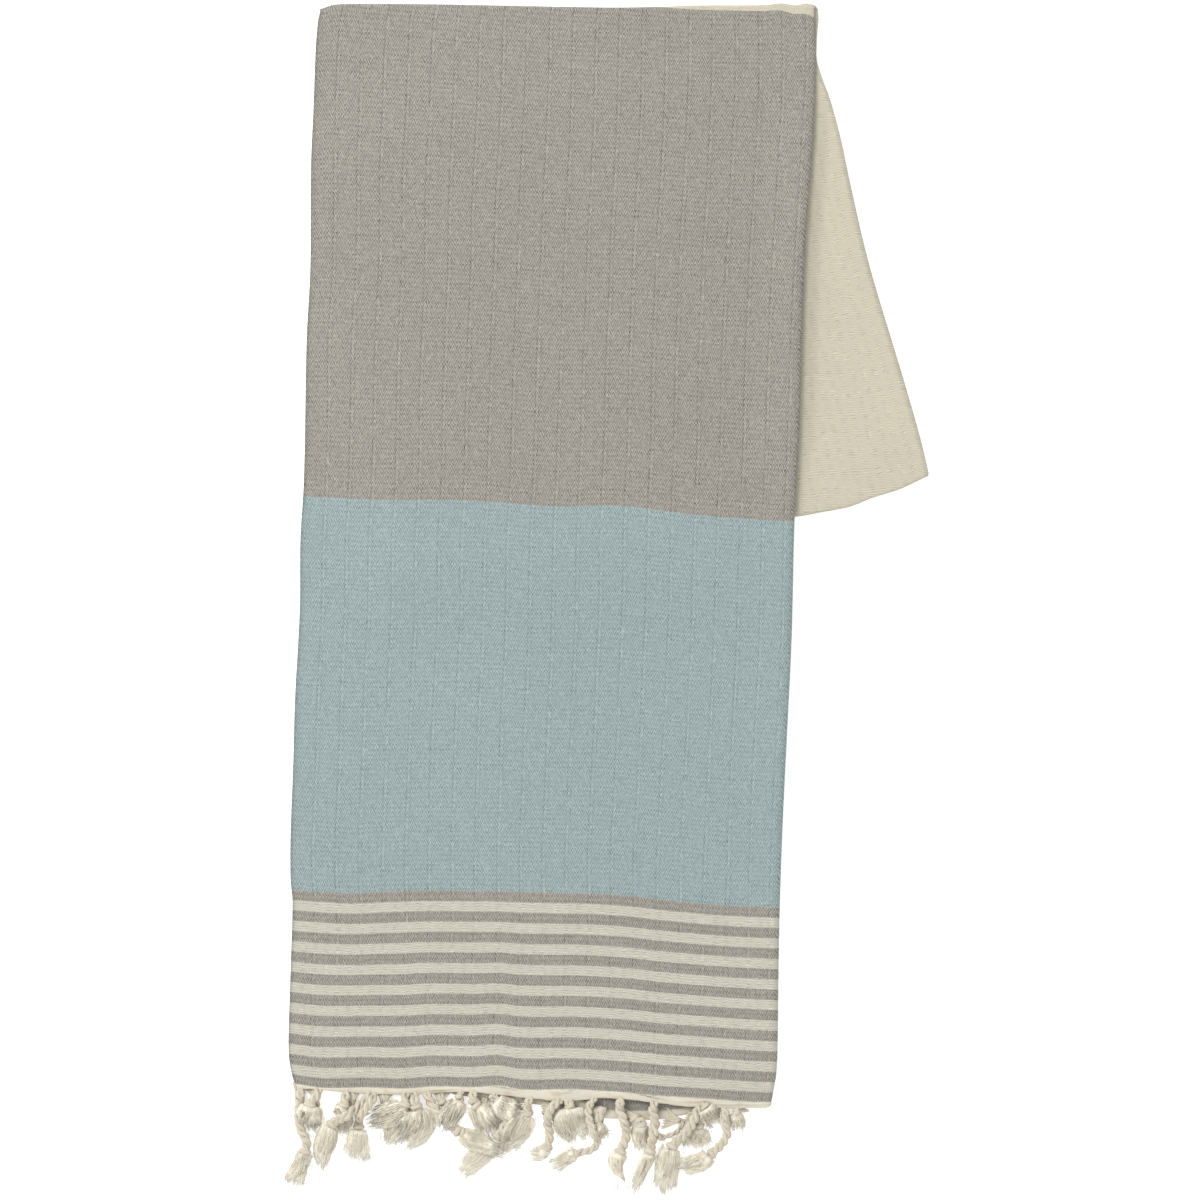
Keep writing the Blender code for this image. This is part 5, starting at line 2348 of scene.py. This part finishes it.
@dataclass
class Studio:
    """Pale floor, soft light and the camera straight above."""

    lens: float = 100.0
    sensor: float = 36.0
    cloth_height: float = 6.0 * MM
    view_middle: Span = (-0.00735, -0.00029)
    floor_size: float = 14.0
    floor_colour: tuple = (0.90, 0.90, 0.90, 1.0)
    floor_roughness: float = 0.95
    floor_glow: float = 0.45
    white: tuple = (1.0, 1.0, 1.0, 1.0)
    sky: float = 0.68
    panels: tuple[Panel, ...] = (
        Panel("key", (-2.4, 1.8, 3.2), 2.4, 155.0),
        Panel("fill", (1.8, -1.6, 2.6), 2.4, 22.0),
    )

    def build(self) -> None:
        """Set up the floor, the light and the camera."""
        self.add_floor()
        self.add_light()
        self.add_camera()
        scene = bpy.context.scene
        scene.view_settings.view_transform = "Standard"
        scene.view_settings.look = "None"

    def add_floor(self) -> None:
        """Lay a plain pale floor."""
        deselect()
        bpy.ops.mesh.primitive_plane_add(size=self.floor_size)
        floor = bpy.context.object
        floor.name = "floor"
        material, _, shader = new_material("pale_floor")
        feed(shader, {
            "Base Color": self.floor_colour,
            "Roughness": self.floor_roughness,
            "Specular IOR Level": 0.0,
            "Emission Color": self.white,
            "Emission Strength": self.floor_glow,
        })
        floor.data.materials.append(material)

    def add_light(self) -> None:
        """Light the scene from all round, and a little more from the upper left."""
        world = bpy.data.worlds.new("studio")
        world.use_nodes = True
        sky = world.node_tree.nodes["Background"]
        feed(sky, {"Color": self.white, "Strength": self.sky})
        bpy.context.scene.world = world
        for panel in self.panels:
            panel.hang()

    def add_camera(self) -> None:
        """Hang the camera straight above the towel, its top edge towards +Y."""
        data = bpy.data.cameras.new("camera")
        data.lens = self.lens
        data.sensor_width = self.sensor
        camera = bpy.data.objects.new("camera", data)
        field_width = PHOTO_WIDTH_PX * MM_PER_PX * MM
        distance = field_width * self.lens / self.sensor
        camera.location = (*self.view_middle, self.cloth_height + distance)
        bpy.context.scene.collection.objects.link(camera)
        bpy.context.scene.camera = camera


def dress(piece: Piece, material: bpy.types.Material, node: str) -> None:
    """Give a piece its material and its place in the frame.

    Args:
        piece: The piece.
        material: Its material.
        node: The CAD node that it stands for.
    """
    piece.data.materials.clear()
    piece.data.materials.append(material)
    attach(piece, "root")
    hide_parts(node)
    log.info("%s stands for %s", piece.name, node)


def main() -> None:
    """Build the towel's pieces and the studio."""
    logging.basicConfig(level=logging.INFO)
    folds = Folds()
    cloth = TowelCloth(folds).build()
    front = FrontFringe(folds).build()
    far = FarFringe(folds).build()
    yarn = FringeYarn().build()
    whole_width = 2 * folds.sheet.half_width + math.pi * folds.sheet.outer
    dress(cloth, WovenCotton().build(folds.pattern, whole_width), "cloth")
    dress(front, yarn, "fringe_front")
    dress(far, yarn, "fringe_far")
    width = 2 * folds.sheet.half_width
    folds.sheet.length
    Studio().build()


if __name__ == "__main__":
    main()
